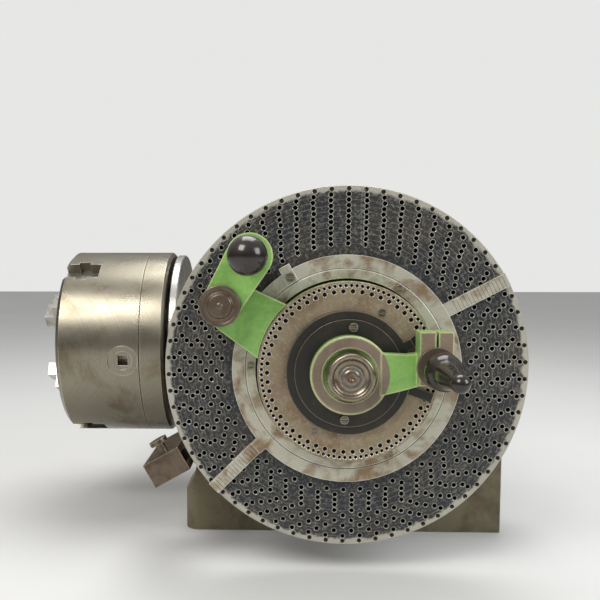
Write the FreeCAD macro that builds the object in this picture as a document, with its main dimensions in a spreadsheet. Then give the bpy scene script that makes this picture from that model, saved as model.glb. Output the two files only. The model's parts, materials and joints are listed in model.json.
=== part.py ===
"""Universal dividing head with a wide-range divider and a three-jaw chuck.

Frame: +Z up, X along the spindle (its nose points to -X), Y along the index
crank shaft (the index plates face -Y).  The origin is on the underside of the
base, below the point where the spindle axis and the crank axis cross.
Millimetres throughout.
"""

import FreeCAD, Part
import math
import os

import Sketcher
from FreeCAD import Placement, Rotation, Vector

doc = FreeCAD.newDocument("DividingHead")

# ---------------------------------------------------------------------------
# Driving dimensions
# ---------------------------------------------------------------------------

DIMENSIONS = {
    # base
    "centre_height": 177.8,
    "base_left": 150,
    "base_right": 162,
    "base_half_width": 120,
    "base_floor": 26,
    "cheek_gap": 74,
    "cheek_shoulder": 128,
    "trunnion_radius": 78,
    "running_gap": 0.05,
    "strap_wall": 17,
    "strap_width": 36,
    "ear_height": 20,
    "bolt_radius": 6,
    "key_depth": 5,
    # swivel block
    "drum_radius": 92,
    "drum_half_width": 72,
    "trunnion_end": 118,
    "barrel_radius": 60,
    "barrel_end": 152,
    "tail_radius": 46,
    "tail_end": 100,
    "sleeve_radius": 27,
    "sleeve_end": 190,
    # spindle
    "journal_radius": 24,
    "spindle_bore": 12,
    "bush_radius": 32,
    "nose_radius": 28,
    "nose_end": 196,
    "flange_radius": 42,
    "guard_radius": 97,
    # chuck
    "chuck_radius": 100,
    "chuck_seam": 199,
    "chuck_front": 285,
    "backplate_rear": 174,
    "slot_floor": 247,
    "jaw_width": 22,
    "pinion_place": 215.8,
    "pinion_radius": 15.5,
    # gear train
    "worm_drop": 52,
    "gear_module": 2,
    "shaft_radius": 12,
    # index plates: distances in front of the large plate's face
    "plate_face": 220,
    "plate_radius": 153,
    "plate_thickness": 8,
    "row_angle": 89.47,
    "stop_angle": 209.47,
    "outer_circle": 150,
    "crank_circle": 123.12,
    "hole_radius": 1.9,
    "sector_inner": 84.6,
    "sector_outer": 95.6,
    "sector_thickness": 3.5,
    "arm_width": 11.5,
    "first_arm_angle": 27.4,
    "second_arm_angle": 225,
    "hub_radius": 74,
    "small_plate_front": 23.5,
    "small_plate_thickness": 3,
    "small_circle": 65.95,
    "small_pin_angle": 7.2,
    "retainer_radius": 41.8,
    "small_sector_radius": 50.5,
    "small_first_angle": 340,
    "small_second_angle": 30,
    # large crank
    "pin_angle": 130.22,
    "pivot_x": -102.6,
    "pivot_up": 55,
    "link_thickness": 13,
    "link_back": 26,
    # small crank
    "small_hub_radius": 31.6,
    "small_hub_back": 31,
    "small_hub_front": 42,
    "clamp_front": 55,
    # handles and turned caps
    "knob_radius": 15.1,
    "knob_middle": 75,
    "small_knob_radius": 14.5,
    "small_knob_middle": 79,
    "grip_reach": 52,
    "grip_waist": 5,
    "grip_bead": 6.8,
    "cap_radius": 16.4,
    "nut_radius": 18.9,
    # planetary reduction
    "sun_offset": 31.5,
}

sheet = doc.addObject("Spreadsheet::Sheet", "Dimensions")
for row, (alias, number) in enumerate(DIMENSIONS.items(), start=1):
    sheet.set(f"A{row}", alias)
    sheet.set(f"B{row}", str(number))
    sheet.setAlias(f"B{row}", alias)
doc.recompute()


class Size:
    """A number together with the spreadsheet expression that it comes from."""

    def __init__(self, number, text):
        self.number = float(number)
        self.text = text

    def __add__(self, other):
        other = as_size(other)
        return Size(self.number + other.number, f"({self.text} + {other.text})")

    def __sub__(self, other):
        other = as_size(other)
        return Size(self.number - other.number, f"({self.text} - {other.text})")

    def __mul__(self, other):
        other = as_size(other)
        return Size(self.number * other.number, f"({self.text} * {other.text})")

    def __truediv__(self, other):
        other = as_size(other)
        return Size(self.number / other.number, f"({self.text} / {other.text})")

    def __neg__(self):
        return Size(-self.number, f"(0 - {self.text})")

    def __radd__(self, other):
        return as_size(other) + self

    def __rsub__(self, other):
        return as_size(other) - self

    def __rmul__(self, other):
        return as_size(other) * self

    def cos(self):
        return Size(math.cos(math.radians(self.number)), f"cos({self.text} * 1 deg)")

    def sin(self):
        return Size(math.sin(math.radians(self.number)), f"sin({self.text} * 1 deg)")


def as_size(value):
    """A plain number is a size whose expression is the number itself."""
    return value if isinstance(value, Size) else Size(value, f"{value:.6g}")


def dim(alias):
    """The size in the spreadsheet cell with this alias."""
    return Size(DIMENSIONS[alias], f"Dimensions.{alias}")


def bind(item, field, value):
    """Give a field its number, and its expression when it comes from the sheet."""
    value = as_size(value)
    if "." not in field:
        setattr(item, field, value.number)
    if "Dimensions" in value.text:
        item.setExpression(field, value.text)


def place(item, x=0, y=0, z=0, axis=(0, 0, 1), angle=0):
    """Put an object at (x, y, z), turned by angle about axis."""
    x, y, z, angle = as_size(x), as_size(y), as_size(z), as_size(angle)
    turn = Rotation(Vector(*axis), angle.number)
    item.Placement = Placement(Vector(x.number, y.number, z.number), turn)
    for name, value in (("x", x), ("y", y), ("z", z)):
        bind(item, f"Placement.Base.{name}", value)
    if "Dimensions" in angle.text:
        item.setExpression("Placement.Rotation.Angle", angle.text)
    return item


CENTRE = dim("centre_height")
CRANK_TURN = (0, -1, 0)  # azimuths on the plates count from +X towards +Z


def ahead(height):
    """Y of a point this far in front of the large plate's face."""
    return -(dim("plate_face") + height)


# ---------------------------------------------------------------------------
# Modelling helpers
# ---------------------------------------------------------------------------

PARTS = []


def part(item, label):
    """Register an object as a sub-part of the assembly."""
    item.Label = label
    PARTS.append(item)
    return item


def new_body(name):
    return doc.addObject("PartDesign::Body", name)


def origin_plane(body, role):
    return next(o for o in body.Origin.OriginFeatures if o.Role == role)


def new_sketch(body, role, offset=0):
    """A sketch on one of the body's own origin planes."""
    sketch = body.newObject("Sketcher::SketchObject", body.Name + "Sketch")
    sketch.AttachmentSupport = [(origin_plane(body, role), "")]
    sketch.MapMode = "FlatFace"
    offset = as_size(offset)
    sketch.AttachmentOffset = Placement(Vector(0, 0, offset.number), Rotation())
    bind(sketch, "AttachmentOffset.Base.z", offset)
    return sketch


def pin_point(sketch, geometry, end, x, y):
    """Fix a point of the sketch to two driven coordinates."""
    for kind, value in (("DistanceX", as_size(x)), ("DistanceY", as_size(y))):
        index = sketch.addConstraint(
            Sketcher.Constraint(kind, -1, 1, geometry, end, value.number)
        )
        if "Dimensions" in value.text:
            sketch.setExpression(f"Constraints[{index}]", value.text)


def polygon(sketch, points):
    """A closed outline whose corners are all driven by the sheet."""
    points = [(as_size(x), as_size(y)) for x, y in points]
    ends = [Vector(x.number, y.number, 0) for x, y in points]
    first = sketch.GeometryCount
    count = len(ends)
    for i in range(count):
        sketch.addGeometry(Part.LineSegment(ends[i], ends[(i + 1) % count]))
    for i in range(count):
        after = first + (i + 1) % count
        sketch.addConstraint(Sketcher.Constraint("Coincident", first + i, 2, after, 1))
        pin_point(sketch, first + i, 1, *points[i])


def circle(sketch, x, y, radius):
    """A circle with a driven centre and radius."""
    x, y, radius = as_size(x), as_size(y), as_size(radius)
    centre = Vector(x.number, y.number, 0)
    index = sketch.addGeometry(
        Part.Circle(centre, Vector(0, 0, 1), radius.number)
    )
    pin_point(sketch, index, 3, x, y)
    row = sketch.addConstraint(Sketcher.Constraint("Radius", index, radius.number))
    if "Dimensions" in radius.text:
        sketch.setExpression(f"Constraints[{row}]", radius.text)


def pad(body, sketch, length, both_ways=False):
    feature = body.newObject("PartDesign::Pad", body.Name + "Pad")
    feature.Profile = sketch
    bind(feature, "Length", length)
    feature.Midplane = both_ways
    return feature


def pocket(body, sketch, length=None, both_ways=False, flip=False):
    feature = body.newObject("PartDesign::Pocket", body.Name + "Pocket")
    feature.Profile = sketch
    if length is None:
        feature.Type = "ThroughAll"
    else:
        bind(feature, "Length", length)
    feature.Midplane = both_ways
    feature.Reversed = flip
    return feature


def around(body, feature, count, axis="Y_Axis"):
    """A full polar pattern of one feature about an axis of the body."""
    ring = body.newObject("PartDesign::PolarPattern", body.Name + "Ring")
    ring.Originals = [feature]
    ring.Axis = (origin_plane(body, axis), [""])
    ring.Angle = 360
    ring.Occurrences = count
    body.Tip = ring
    return ring


def edge_names(shape, wanted):
    """Names of the edges whose middle point passes a test."""
    names = []
    for index, edge in enumerate(shape.Edges, start=1):
        middle = edge.valueAt((edge.FirstParameter + edge.LastParameter) / 2)
        if wanted(edge, middle):
            names.append(f"Edge{index}")
    return names


def soften(body, base, kind, size, wanted):
    """A PartDesign fillet or chamfer on the edges that pass a test."""
    doc.recompute()
    feature = body.newObject("PartDesign::" + kind, body.Name + kind)
    feature.Base = (base, edge_names(base.Shape, wanted))
    bind(feature, "Radius" if kind == "Fillet" else "Size", size)
    body.Tip = feature
    return feature


def turned(name, role, profile):
    """A body of revolution: the profile is (along the axis, radius) pairs."""
    body = new_body(name)
    sketch = new_sketch(body, role)
    polygon(sketch, profile)
    turn = body.newObject("PartDesign::Revolution", name + "Turn")
    turn.Profile = sketch
    turn.ReferenceAxis = (sketch, ["H_Axis"])
    turn.Angle = 360
    place(body, 0, 0, CENTRE)
    return body


def on_crank_axis(label, profile):
    """A turned piece on the crank axis: the profile is (y, radius) pairs."""
    return turned(label, "YZ_Plane", profile)


def on_spindle_axis(label, profile):
    """A turned piece on the spindle axis: the profile is (x, radius) pairs."""
    return turned(label, "XZ_Plane", profile)


def ring(start, end, inner, outer, chamfer=0):
    """The profile of a plain ring, with its outer corners bevelled."""
    c = chamfer
    if not c:
        return [(start, inner), (end, inner), (end, outer), (start, outer)]
    low, high = (start, end) if as_size(start).number < as_size(end).number else (end, start)
    return [(low, inner), (high, inner), (high, outer - c), (high - c, outer),
            (low + c, outer), (low, outer - c)]


def cylinder(name, radius, length, x, y, z, axis=(0, 0, 1), angle=0):
    item = doc.addObject("Part::Cylinder", name)
    bind(item, "Radius", radius)
    bind(item, "Height", length)
    return place(item, x, y, z, axis, angle)


def along_y(name, radius, start, end, x=0, z=CENTRE):
    """A cylinder along Y between two stations."""
    return cylinder(name, radius, end - start, x, start, z, (1, 0, 0), -90)


def along_x(name, radius, start, end, y=0, z=CENTRE):
    """A cylinder along X between two stations."""
    return cylinder(name, radius, end - start, start, y, z, (0, 1, 0), 90)


def box(name, x, y, z, size_x, size_y, size_z, axis=(0, 0, 1), angle=0):
    item = doc.addObject("Part::Box", name)
    bind(item, "Length", size_x)
    bind(item, "Width", size_y)
    bind(item, "Height", size_z)
    return place(item, x, y, z, axis, angle)


def fuse(name, pieces):
    item = doc.addObject("Part::MultiFuse", name)
    item.Shapes = pieces
    item.Refine = True
    return item


def cut(name, base, tool):
    item = doc.addObject("Part::Cut", name)
    item.Base = base
    item.Tool = tool
    item.Refine = True
    return item


def group(name, pieces):
    """Identical fasteners kept together as separate solids."""
    item = doc.addObject("Part::Compound", name)
    item.Links = pieces
    return item


def set_shape(name, shape):
    """A sub-part whose shape is computed below from the sheet's numbers."""
    item = doc.addObject("Part::Feature", name)
    item.Shape = shape
    return item


def polar(radius, angle):
    """X and height above the crank axis of a point at this azimuth."""
    radius, angle = as_size(radius), as_size(angle)
    return radius * angle.cos(), radius * angle.sin()


# ---------------------------------------------------------------------------
# Base
# ---------------------------------------------------------------------------

def base_casting():
    """A floor with two cheeks whose half-round seats carry the trunnions."""
    body = new_body("base")
    left, right = -dim("base_left"), dim("base_right")
    shoulder = dim("cheek_shoulder")
    outline = new_sketch(body, "XZ_Plane")
    polygon(outline, [
        (left, 0), (right, 0), (right, CENTRE - 72), (shoulder + 8, CENTRE - 36),
        (shoulder, CENTRE - 28), (shoulder, CENTRE), (-shoulder, CENTRE),
        (-shoulder, CENTRE - 66), (left + 9, 54), (left, 40),
    ])
    pad(body, outline, dim("base_half_width") * 2, both_ways=True)
    gap = new_sketch(body, "YZ_Plane")
    half, floor = dim("cheek_gap"), dim("base_floor")
    polygon(gap, [(-half, floor), (half, floor), (half, CENTRE + 1), (-half, CENTRE + 1)])
    pocket(body, gap, 400, both_ways=True)
    seat = new_sketch(body, "XZ_Plane")
    circle(seat, 0, CENTRE, dim("trunnion_radius") + dim("running_gap"))
    pocket(body, seat, 400, both_ways=True)
    slots = new_sketch(body, "XY_Plane")
    for end, inner in ((left - 1, left + 28), (right + 1, right - 28)):
        polygon(slots, [(end, -9), (inner, -9), (inner, 9), (end, 9)])
    pocket(body, slots, 200, both_ways=True)
    key = new_sketch(body, "XY_Plane")
    for inner in (left + 40, right - 40):
        side = 1 if inner.number > 0 else -1
        polygon(key, [(inner - side * 40, -8), (inner, -8), (inner, 8), (inner - side * 40, 8)])
    pocket(body, key, dim("key_depth"), flip=True)
    holes = new_sketch(body, "XY_Plane", CENTRE)
    for x in (-1, 1):
        for y in (-1, 1):
            circle(holes, (shoulder - 14) * x, y * 97, dim("bolt_radius") + 0.05)
    last = pocket(body, holes, 40)

    def corner(edge, middle):
        upright = abs(edge.tangentAt(edge.FirstParameter).z) > 0.99
        outer = abs(abs(middle.y) - DIMENSIONS["base_half_width"]) < 0.1
        return upright and outer and middle.x < 0 and middle.z < 60

    soften(body, last, "Fillet", 14, corner)
    part(body, "base_casting")


def trunnion_strap(label, station):
    """A half-round cap over a trunnion, with an ear on each side."""
    wall, reach = dim("strap_wall"), dim("cheek_shoulder")
    seat = dim("trunnion_radius") + dim("running_gap")
    half = dim("strap_width") / 2
    back, front = station + half, station - half
    hoop = along_y(label + "Hoop", seat + wall, front, back)
    ears = box(label + "Ears", -reach, front, CENTRE, reach * 2, half * 2, dim("ear_height"))
    whole = fuse(label + "Whole", [hoop, ears])
    bore = along_y(label + "Bore", seat, front - 1, back + 1)
    below = box(label + "Below", -200, front - 1, CENTRE - 200, 400, half * 2 + 2, 200)
    holes = [
        cylinder(label + "Hole", dim("bolt_radius") + 0.5, 60, (reach - 14) * x, station, CENTRE)
        for x in (-1, 1)
    ]
    part(cut(label, whole, fuse(label + "Tools", [bore, below] + holes)), label)


def strap_bolts():
    """Four hexagon bolts that pull the straps down on the cheeks."""
    bolts = []
    for x in (-1, 1):
        for y in (-1, 1):
            across = (dim("cheek_shoulder") - 14) * x
            top = CENTRE + dim("ear_height")
            shank = cylinder("Shank", dim("bolt_radius"), 56, across, y * 97, top - 56)
            head = doc.addObject("Part::Prism", "Head")
            head.Polygon = 6
            head.Circumradius = 11
            head.Height = 8
            place(head, across, y * 97, top)
            bolts.append(fuse("StrapBolt", [shank, head]))
    part(group("StrapBolts", bolts), "strap_bolts")


# ---------------------------------------------------------------------------
# Swivel block
# ---------------------------------------------------------------------------

def swivel_block():
    """The drum that carries the spindle, with its rear trunnion."""
    drum = along_y("Drum", dim("drum_radius"), -dim("drum_half_width"), dim("drum_half_width"))
    rear = along_y("RearTrunnion", dim("trunnion_radius"), 0, dim("trunnion_end"))
    barrel = along_x("Barrel", dim("barrel_radius"), -dim("barrel_end"), 0)
    tail = along_x("Tail", dim("tail_radius"), 0, dim("tail_end"))
    solid = fuse("BlockSolid", [drum, rear, barrel, tail])
    gears = dim("worm_drop")
    tools = [
        along_x("SpindleBore", dim("bush_radius"), -dim("barrel_end") - 1, dim("tail_end") + 1),
        along_x("WheelRoom", 47, -15, 15),
        along_y("WormRoom", 17, -dim("drum_half_width") - 1, 40, 0, CENTRE - gears),
        along_y("WormSeat", 8.05, 0, 56, 0, CENTRE - gears),
        along_y("CrankGearRoom", 30, -dim("drum_half_width") - 1, -53),
        along_y("WormGearRoom", 30, -dim("drum_half_width") - 1, -53, 0, CENTRE - gears),
    ]
    part(cut("SwivelBlock", solid, fuse("BlockTools", tools)), "swivel_block")


def front_trunnion():
    """The bolted-on trunnion that closes the gear room and carries the plates."""
    flange, end = -dim("drum_half_width"), -dim("trunnion_end")
    bore = dim("shaft_radius") + dim("running_gap")
    profile = [
        (flange, bore), (flange, dim("trunnion_radius")), (end, dim("trunnion_radius")),
        (end, 62), (end - 6, 60), (end - 6, 34), (end - 12, dim("sleeve_radius")),
        (-dim("sleeve_end"), dim("sleeve_radius")), (-dim("sleeve_end"), bore),
    ]
    solid = on_crank_axis("FrontTrunnionBody", profile)
    tools = [along_y("WormEnd", 8.05, flange - 12, flange + 1, 0, CENTRE - dim("worm_drop"))]
    for angle in (45, 135, 225, 315):
        x, up = polar(69, angle)
        tools.append(along_y("ScrewSeat", 6.6, end - 1, end + 8, x, CENTRE + up))
    part(cut("FrontTrunnion", solid, fuse("TrunnionTools", tools)), "front_trunnion")


def cap_screws(label, spots, radius, seat, depth, front):
    """Socket-head screws: spots are (x, height above the axis) pairs."""
    screws = []
    for x, up in spots:
        head = along_y("ScrewHead", radius, seat - depth, seat, x, CENTRE + up)
        socket = along_y("ScrewSocket", radius * 0.5, front - 1, front + depth * 0.5,
                         x, CENTRE + up)
        screws.append(cut("CapScrew", head, socket))
    part(group(label + "Group", screws), label)


def bushes():
    """Bronze bushes at the two ends of the spindle bore."""
    bore = dim("journal_radius") + dim("running_gap")
    outer, nose, tail = dim("bush_radius"), -dim("barrel_end"), dim("tail_end")
    part(on_spindle_axis("FrontBush", ring(nose, nose + 44, bore, outer)), "front_bush")
    part(on_spindle_axis("RearBush", ring(tail - 34, tail, bore, outer)), "rear_bush")


# ---------------------------------------------------------------------------
# Spindle and chuck
# ---------------------------------------------------------------------------

def spindle():
    """Hollow spindle: threaded nose, flange, journals and a threaded tail."""
    bore, journal = dim("spindle_bore"), dim("journal_radius")
    nose, flange, tail = -dim("nose_end"), -dim("backplate_rear"), dim("tail_end")
    part(on_spindle_axis("Spindle", [
        (nose, bore), (tail + 22, bore), (tail + 22, 19), (tail + 21, 20), (tail + 0.6, 20),
        (tail + 0.6, journal), (-dim("barrel_end") - 0.6, journal),
        (-dim("barrel_end") - 0.6, dim("flange_radius")), (flange, dim("flange_radius")),
        (flange, dim("nose_radius")), (nose + 1.5, dim("nose_radius")),
        (nose, dim("nose_radius") - 1.5),
    ]), "spindle")
    part(on_spindle_axis("SpindleNut", ring(tail + 0.8, tail + 15, 20, 32, 1.5)), "spindle_nut")
    bore = dim("flange_radius") + 0.02
    disc = ring(flange + 4, flange + 12, bore, dim("guard_radius"), 1)
    part(on_spindle_axis("GuardDisc", disc), "guard_disc")


def chuck():
    """Backplate, body, scroll, three jaws and three pinions."""
    outer, seam, front = dim("chuck_radius"), -dim("chuck_seam"), -dim("chuck_front")
    floor, rear = -dim("slot_floor"), -dim("backplate_rear")
    part(on_spindle_axis("Backplate", [
        (rear, dim("nose_radius") + 0.02), (rear, 96), (rear - 1.5, outer - 1.5), (rear - 3, outer),
        (seam + 0.6, outer), (seam, outer - 0.8), (seam, dim("nose_radius") + 0.02),
    ]), "chuck_backplate")
    solid = on_spindle_axis("ChuckSolid", [
        (seam, 84), (seam, outer - 0.8), (seam - 0.6, outer), (front + 4, outer),
        (front, outer - 4), (front, 26), (seam, 26), (seam, 36), (floor, 36), (floor, 84),
    ])
    tools = []
    for azimuth in (54, 174, 294):
        slot = box("JawSlot", front - 1, -130, -dim("jaw_width") / 2, floor - front + 1.1,
                   110, dim("jaw_width"))
        tee = box("JawTee", front + 14, -130, -dim("jaw_width") / 2 - 4, 12,
                  110, dim("jaw_width") + 8)
        pair = fuse("JawTool", [slot, tee])
        tools.append(place(pair, 0, 0, CENTRE, (1, 0, 0), -azimuth))
        key = cylinder("KeyHole", dim("pinion_radius"), 60, -dim("pinion_place"), 0, 0,
                       (1, 0, 0), 90)
        key.Placement.Base.y = -60
        hole = fuse("KeyTool", [key, box("KeySpare", -dim("pinion_place") - 2, -70, -2, 4, 4, 4)])
        tools.append(place(hole, 0, 0, CENTRE, (1, 0, 0), -(azimuth - 60)))
    part(cut("ChuckBody", solid, fuse("ChuckTools", tools)), "chuck_body")
    part(on_spindle_axis("ScrollRing", ring(floor + 0.4, floor + 14, 36.1, 83)), "scroll_ring")
    for count, azimuth in enumerate((54, 174, 294), start=1):
        chuck_jaw(count, azimuth)
        chuck_pinion(count, azimuth - 60)


def chuck_jaw(count, azimuth):
    """A stepped jaw with a tee-shaped foot, in its slot at this azimuth."""
    width, front, floor = dim("jaw_width"), -dim("chuck_front"), -dim("slot_floor")
    body = new_body(f"Jaw{count}Blank")
    side = new_sketch(body, "XY_Plane")
    polygon(side, [
        (floor - 0.3, -30), (front - 30, -30), (front - 30, -44), (front - 20, -44),
        (front - 20, -58), (front - 10, -58), (front - 10, -72), (front - 0.5, -72),
        (front - 0.5, -88), (floor - 0.3, -88),
    ])
    pad(body, side, width - 0.2, both_ways=True)
    tee = new_sketch(body, "XY_Plane")
    polygon(tee, [(front + 14.1, -30), (front + 25.9, -30), (front + 25.9, -88),
                  (front + 14.1, -88)])
    pad(body, tee, width + 7.8, both_ways=True)
    part(place(body, 0, 0, CENTRE, (1, 0, 0), -azimuth), f"chuck_jaw_{count}")


def chuck_pinion(count, azimuth):
    """A key pinion with a square socket in its outer end."""
    across = -dim("pinion_place")
    reach = dim("chuck_radius")
    shank = cylinder(f"Pinion{count}Shank", dim("pinion_radius") - 0.1, reach - 63, across,
                     -62, 0, (1, 0, 0), 90)
    socket = box(f"Pinion{count}Socket", across - 5.2, -reach, -5.2, 10.4, 16, 10.4)
    groove = cylinder("PinionRim", 9.6, 3, across, 2 - reach, 0, (1, 0, 0), 90)
    pinion = cut(f"Pinion{count}", shank, fuse("PinionTools", [socket, groove]))
    part(place(pinion, 0, 0, CENTRE, (1, 0, 0), -azimuth), f"chuck_pinion_{count}")


def chuck_screws():
    """Three socket-head screws through the backplate into the chuck body."""
    screws = []
    rear = -dim("backplate_rear")
    for azimuth in (84, 204, 324):
        x, up = polar(60, azimuth)
        head = along_x("ChuckScrewHead", 8, rear, rear + 3, x, CENTRE + up)
        socket = along_x("ChuckScrewSocket", 3.5, rear + 1, rear + 5, x, CENTRE + up)
        screws.append(cut("ChuckScrew", head, socket))
    part(group("ChuckScrews", screws), "chuck_screws")


# ---------------------------------------------------------------------------
# Gears
# ---------------------------------------------------------------------------

def tooth_outline(teeth, module, backlash=0.12, thickness=0.5):
    """Corner points of a gear with straight-flanked teeth, in its own plane."""
    pitch = module * teeth / 2
    step = 2 * math.pi / teeth
    tip, root = pitch + module, pitch - 1.2 * module
    half = step * thickness / 2 - backlash / pitch
    spread = 0.36 * module / pitch
    points = []
    for i in range(teeth):
        middle = i * step
        for radius, angle in (
            (root, middle - half - 1.2 * spread), (tip, middle - half + spread),
            (tip, middle + half - spread), (root, middle + half + 1.2 * spread),
        ):
            points.append(Vector(radius * math.cos(angle), radius * math.sin(angle), 0))
    return points


def gear_solid(teeth, module, width, bore, thickness=0.5):
    """A spur gear standing on the XY plane, one tooth centred on +X."""
    points = tooth_outline(teeth, module, thickness=thickness)
    blank = Part.Face(Part.makePolygon(points + points[:1])).extrude(Vector(0, 0, width))
    return blank.cut(Part.makeCylinder(bore, width + 2, Vector(0, 0, -1)))


def gear_on_y(solid, start, x, z, phase):
    """Stand a gear on a shaft along Y: phase is its first tooth's azimuth."""
    solid = solid.copy()
    solid.rotate(Vector(), Vector(0, 0, 1), phase)
    solid.rotate(Vector(), Vector(1, 0, 0), 90)
    solid.translate(Vector(x, start, z))
    return solid


def gear_train():
    """The 1:1 gears, the worm and the forty-tooth wheel on the spindle."""
    numbers = DIMENSIONS
    module, drop, height = numbers["gear_module"], numbers["worm_drop"], numbers["centre_height"]
    bore = numbers["shaft_radius"] + 0.02
    spur = gear_solid(26, module, 12, bore)
    part(set_shape("CrankGear", gear_on_y(spur, -56, 0, height, -90)), "crank_gear")
    spur = gear_solid(26, module, 12, 8.02)
    half_tooth = 180 / 26
    low = gear_on_y(spur, -56, 0, height - drop, 90 + half_tooth)
    part(set_shape("WormGear", low), "worm_gear")
    wheel = gear_solid(40, module, 16, numbers["journal_radius"] + 0.02, thickness=0.4)
    wheel.rotate(Vector(), Vector(0, 1, 0), 90)
    wheel.translate(Vector(-8, 0, height))
    part(set_shape("WormWheel", wheel), "worm_wheel")
    part(set_shape("WormShaft", worm_solid()), "worm_shaft")


def worm_solid():
    """A single-start worm: a helical thread on a stepped shaft along Y."""
    numbers = DIMENSIONS
    pitch = math.pi * numbers["gear_module"]
    root, turns = 9.6, 5
    length = turns * pitch
    helix = Part.makeHelix(pitch, length, root)
    half_foot, half_tip, reach = 1.3, 0.55, 3.9
    section = Part.makePolygon([
        Vector(root - 0.4, 0, -half_foot), Vector(root + reach, 0, -half_tip),
        Vector(root + reach, 0, half_tip), Vector(root - 0.4, 0, half_foot),
        Vector(root - 0.4, 0, -half_foot),
    ])
    thread = Part.Wire(helix).makePipeShell([section], True, True)
    thread.translate(Vector(0, 0, -length / 2))
    core = Part.makeCylinder(root, length + 6, Vector(0, 0, -length / 2 - 3))
    back = Part.makeCylinder(8, 52 - length / 2, Vector(0, 0, length / 2))
    front = Part.makeCylinder(8, 82 - length / 2, Vector(0, 0, -82))
    solid = core.fuse([thread, back, front]).removeSplitter()
    # the thread's crest faces the wheel half a pitch away from its middle tooth
    solid.rotate(Vector(), Vector(0, 0, 1), -90)
    solid.rotate(Vector(), Vector(1, 0, 0), -90)
    solid.translate(Vector(0, 0, numbers["centre_height"] - numbers["worm_drop"]))
    return solid


# ---------------------------------------------------------------------------
# Crank shaft, large index plate and its sector
# ---------------------------------------------------------------------------

def crank_shaft():
    """Shaft that takes the large crank's turn to the gears."""
    radius = dim("shaft_radius")
    part(on_crank_axis("CrankShaft", [
        (-53.5, 0), (-53.5, radius), (ahead(0), radius), (ahead(0), 8), (ahead(8.6), 8),
        (ahead(8.6), 0),
    ]), "crank_shaft")


def drilled_ring(label, profile, back, depth, circles):
    """A turned plate with rings of eight-sided holes: (radius, count, angle)."""
    body = on_crank_axis(label, profile)
    for radius, count, angle in circles:
        x, up = polar(radius, angle)
        sketch = new_sketch(body, "XZ_Plane", -back)
        hole = dim("hole_radius")
        polygon(sketch, [
            (x + hole * math.cos(math.radians(22.5 + 45 * i)),
             up + hole * math.sin(math.radians(22.5 + 45 * i))) for i in range(8)
        ])
        feature = pocket(body, sketch, depth, both_ways=True)
        around(body, feature, count)
    return body


def large_index_plate():
    """Index plate, its carrier and the ring that holds the sector arms."""
    radius, thick, row = dim("plate_radius"), dim("plate_thickness"), dim("row_angle")
    back = ahead(0) + thick
    body = drilled_ring("LargePlate", ring(back, ahead(0), 40, radius, 0.8), back, 40, [
        (dim("outer_circle"), 66, row), (dim("crank_circle"), 53, row),
    ])
    part(body, "large_index_plate")
    sleeve = dim("sleeve_radius") + dim("running_gap")
    part(on_crank_axis("PlateCarrier", [
        (back + 38, sleeve), (back + 38, 38), (back + 8, 40), (back + 8, 60), (back, 60),
        (back, 39.9), (ahead(0), 39.9), (ahead(0), 30), (-dim("sleeve_end") - 1, 30),
        (-dim("sleeve_end") - 1, sleeve),
    ]), "plate_carrier")
    inner = dim("sector_inner")
    part(on_crank_axis("SectorKeeper", ring(ahead(0), ahead(8), 76, inner - 0.4, 0.6)),
         "sector_keeper")
    screws = []
    for angle in (-62.4, 57.6, 177.6):
        x, up = polar(80.2, angle)
        screws.append((x, up))
    slotted_screws("keeper_screws", screws, 3.2, ahead(8), 1.4)


def slotted_screws(label, spots, radius, face, rise, slot=0.9):
    """Slotted heads standing this much above a face."""
    screws = []
    for x, up in spots:
        head = along_y("SlotHead", radius, face - rise, face, x, CENTRE + up)
        groove = box("Slot", x - radius, face - rise - 1, CENTRE + up - slot / 2, radius * 2,
                     rise * 0.5 + 1, slot)
        screws.append(cut("SlottedScrew", head, groove))
    part(group(label + "Group", screws), label)


def sector_blade(name, start, inner, outer, low, high, width, angle, lead):
    """A straight arm of the sector: one long edge lies on a radius."""
    blade = box(name, inner, start - high, -width if lead else 0, outer - inner, high - low, width)
    return turn_blade(blade, angle)


def turn_blade(blade, angle):
    """Carry a blade drawn along +X round to its azimuth on the crank axis."""
    holder = doc.addObject("Part::Compound", blade.Name + "Turned")
    holder.Links = [blade]
    return place(holder, 0, 0, CENTRE, CRANK_TURN, angle)


def sector_arms():
    """Two ring-and-arm pieces that mark off a number of holes."""
    inner, outer, thick = dim("sector_inner"), dim("sector_outer"), dim("sector_thickness")
    face, width, rim = ahead(0), dim("arm_width"), dim("plate_radius") - 0.6
    clear = 0.3
    first = [
        cut("FirstHoop", along_y("FirstOuter", outer, face - clear - thick, face - clear),
            along_y("FirstInner", inner, face - 20, face + 20)),
        sector_blade("FirstBlade", face, outer - 5, rim, clear, clear + thick, width,
                     dim("first_arm_angle"), False),
    ]
    part(fuse("FirstArm", first), "sector_arm_first")
    low = clear + thick + 0.3
    second = [
        cut("SecondHoop", along_y("SecondOuter", outer, face - low - thick, face - low),
            along_y("SecondInner", inner, face - 20, face + 20)),
        sector_blade("SecondRoot", face, outer - 5, outer + 6, low, low + thick, width,
                     dim("second_arm_angle"), True),
        sector_blade("SecondStep", face, outer + 0.6, outer + 6, clear, low + thick, width,
                     dim("second_arm_angle"), True),
        sector_blade("SecondBlade", face, outer + 0.6, rim, clear, clear + thick, width,
                     dim("second_arm_angle"), True),
        sector_blade("LockPad", face, inner + 0.2, outer + 5, low, low + thick + 1.2, 10,
                     118.6, False),
    ]
    part(fuse("SecondArm", second), "sector_arm_second")
    x, up = polar(90, 121.5)
    slotted_screws("sector_lock_screw", [(x, up)], 4, ahead(low + thick + 1.2), 2.2)


# ---------------------------------------------------------------------------
# Large crank: drum, link and index pin
# ---------------------------------------------------------------------------

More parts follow.
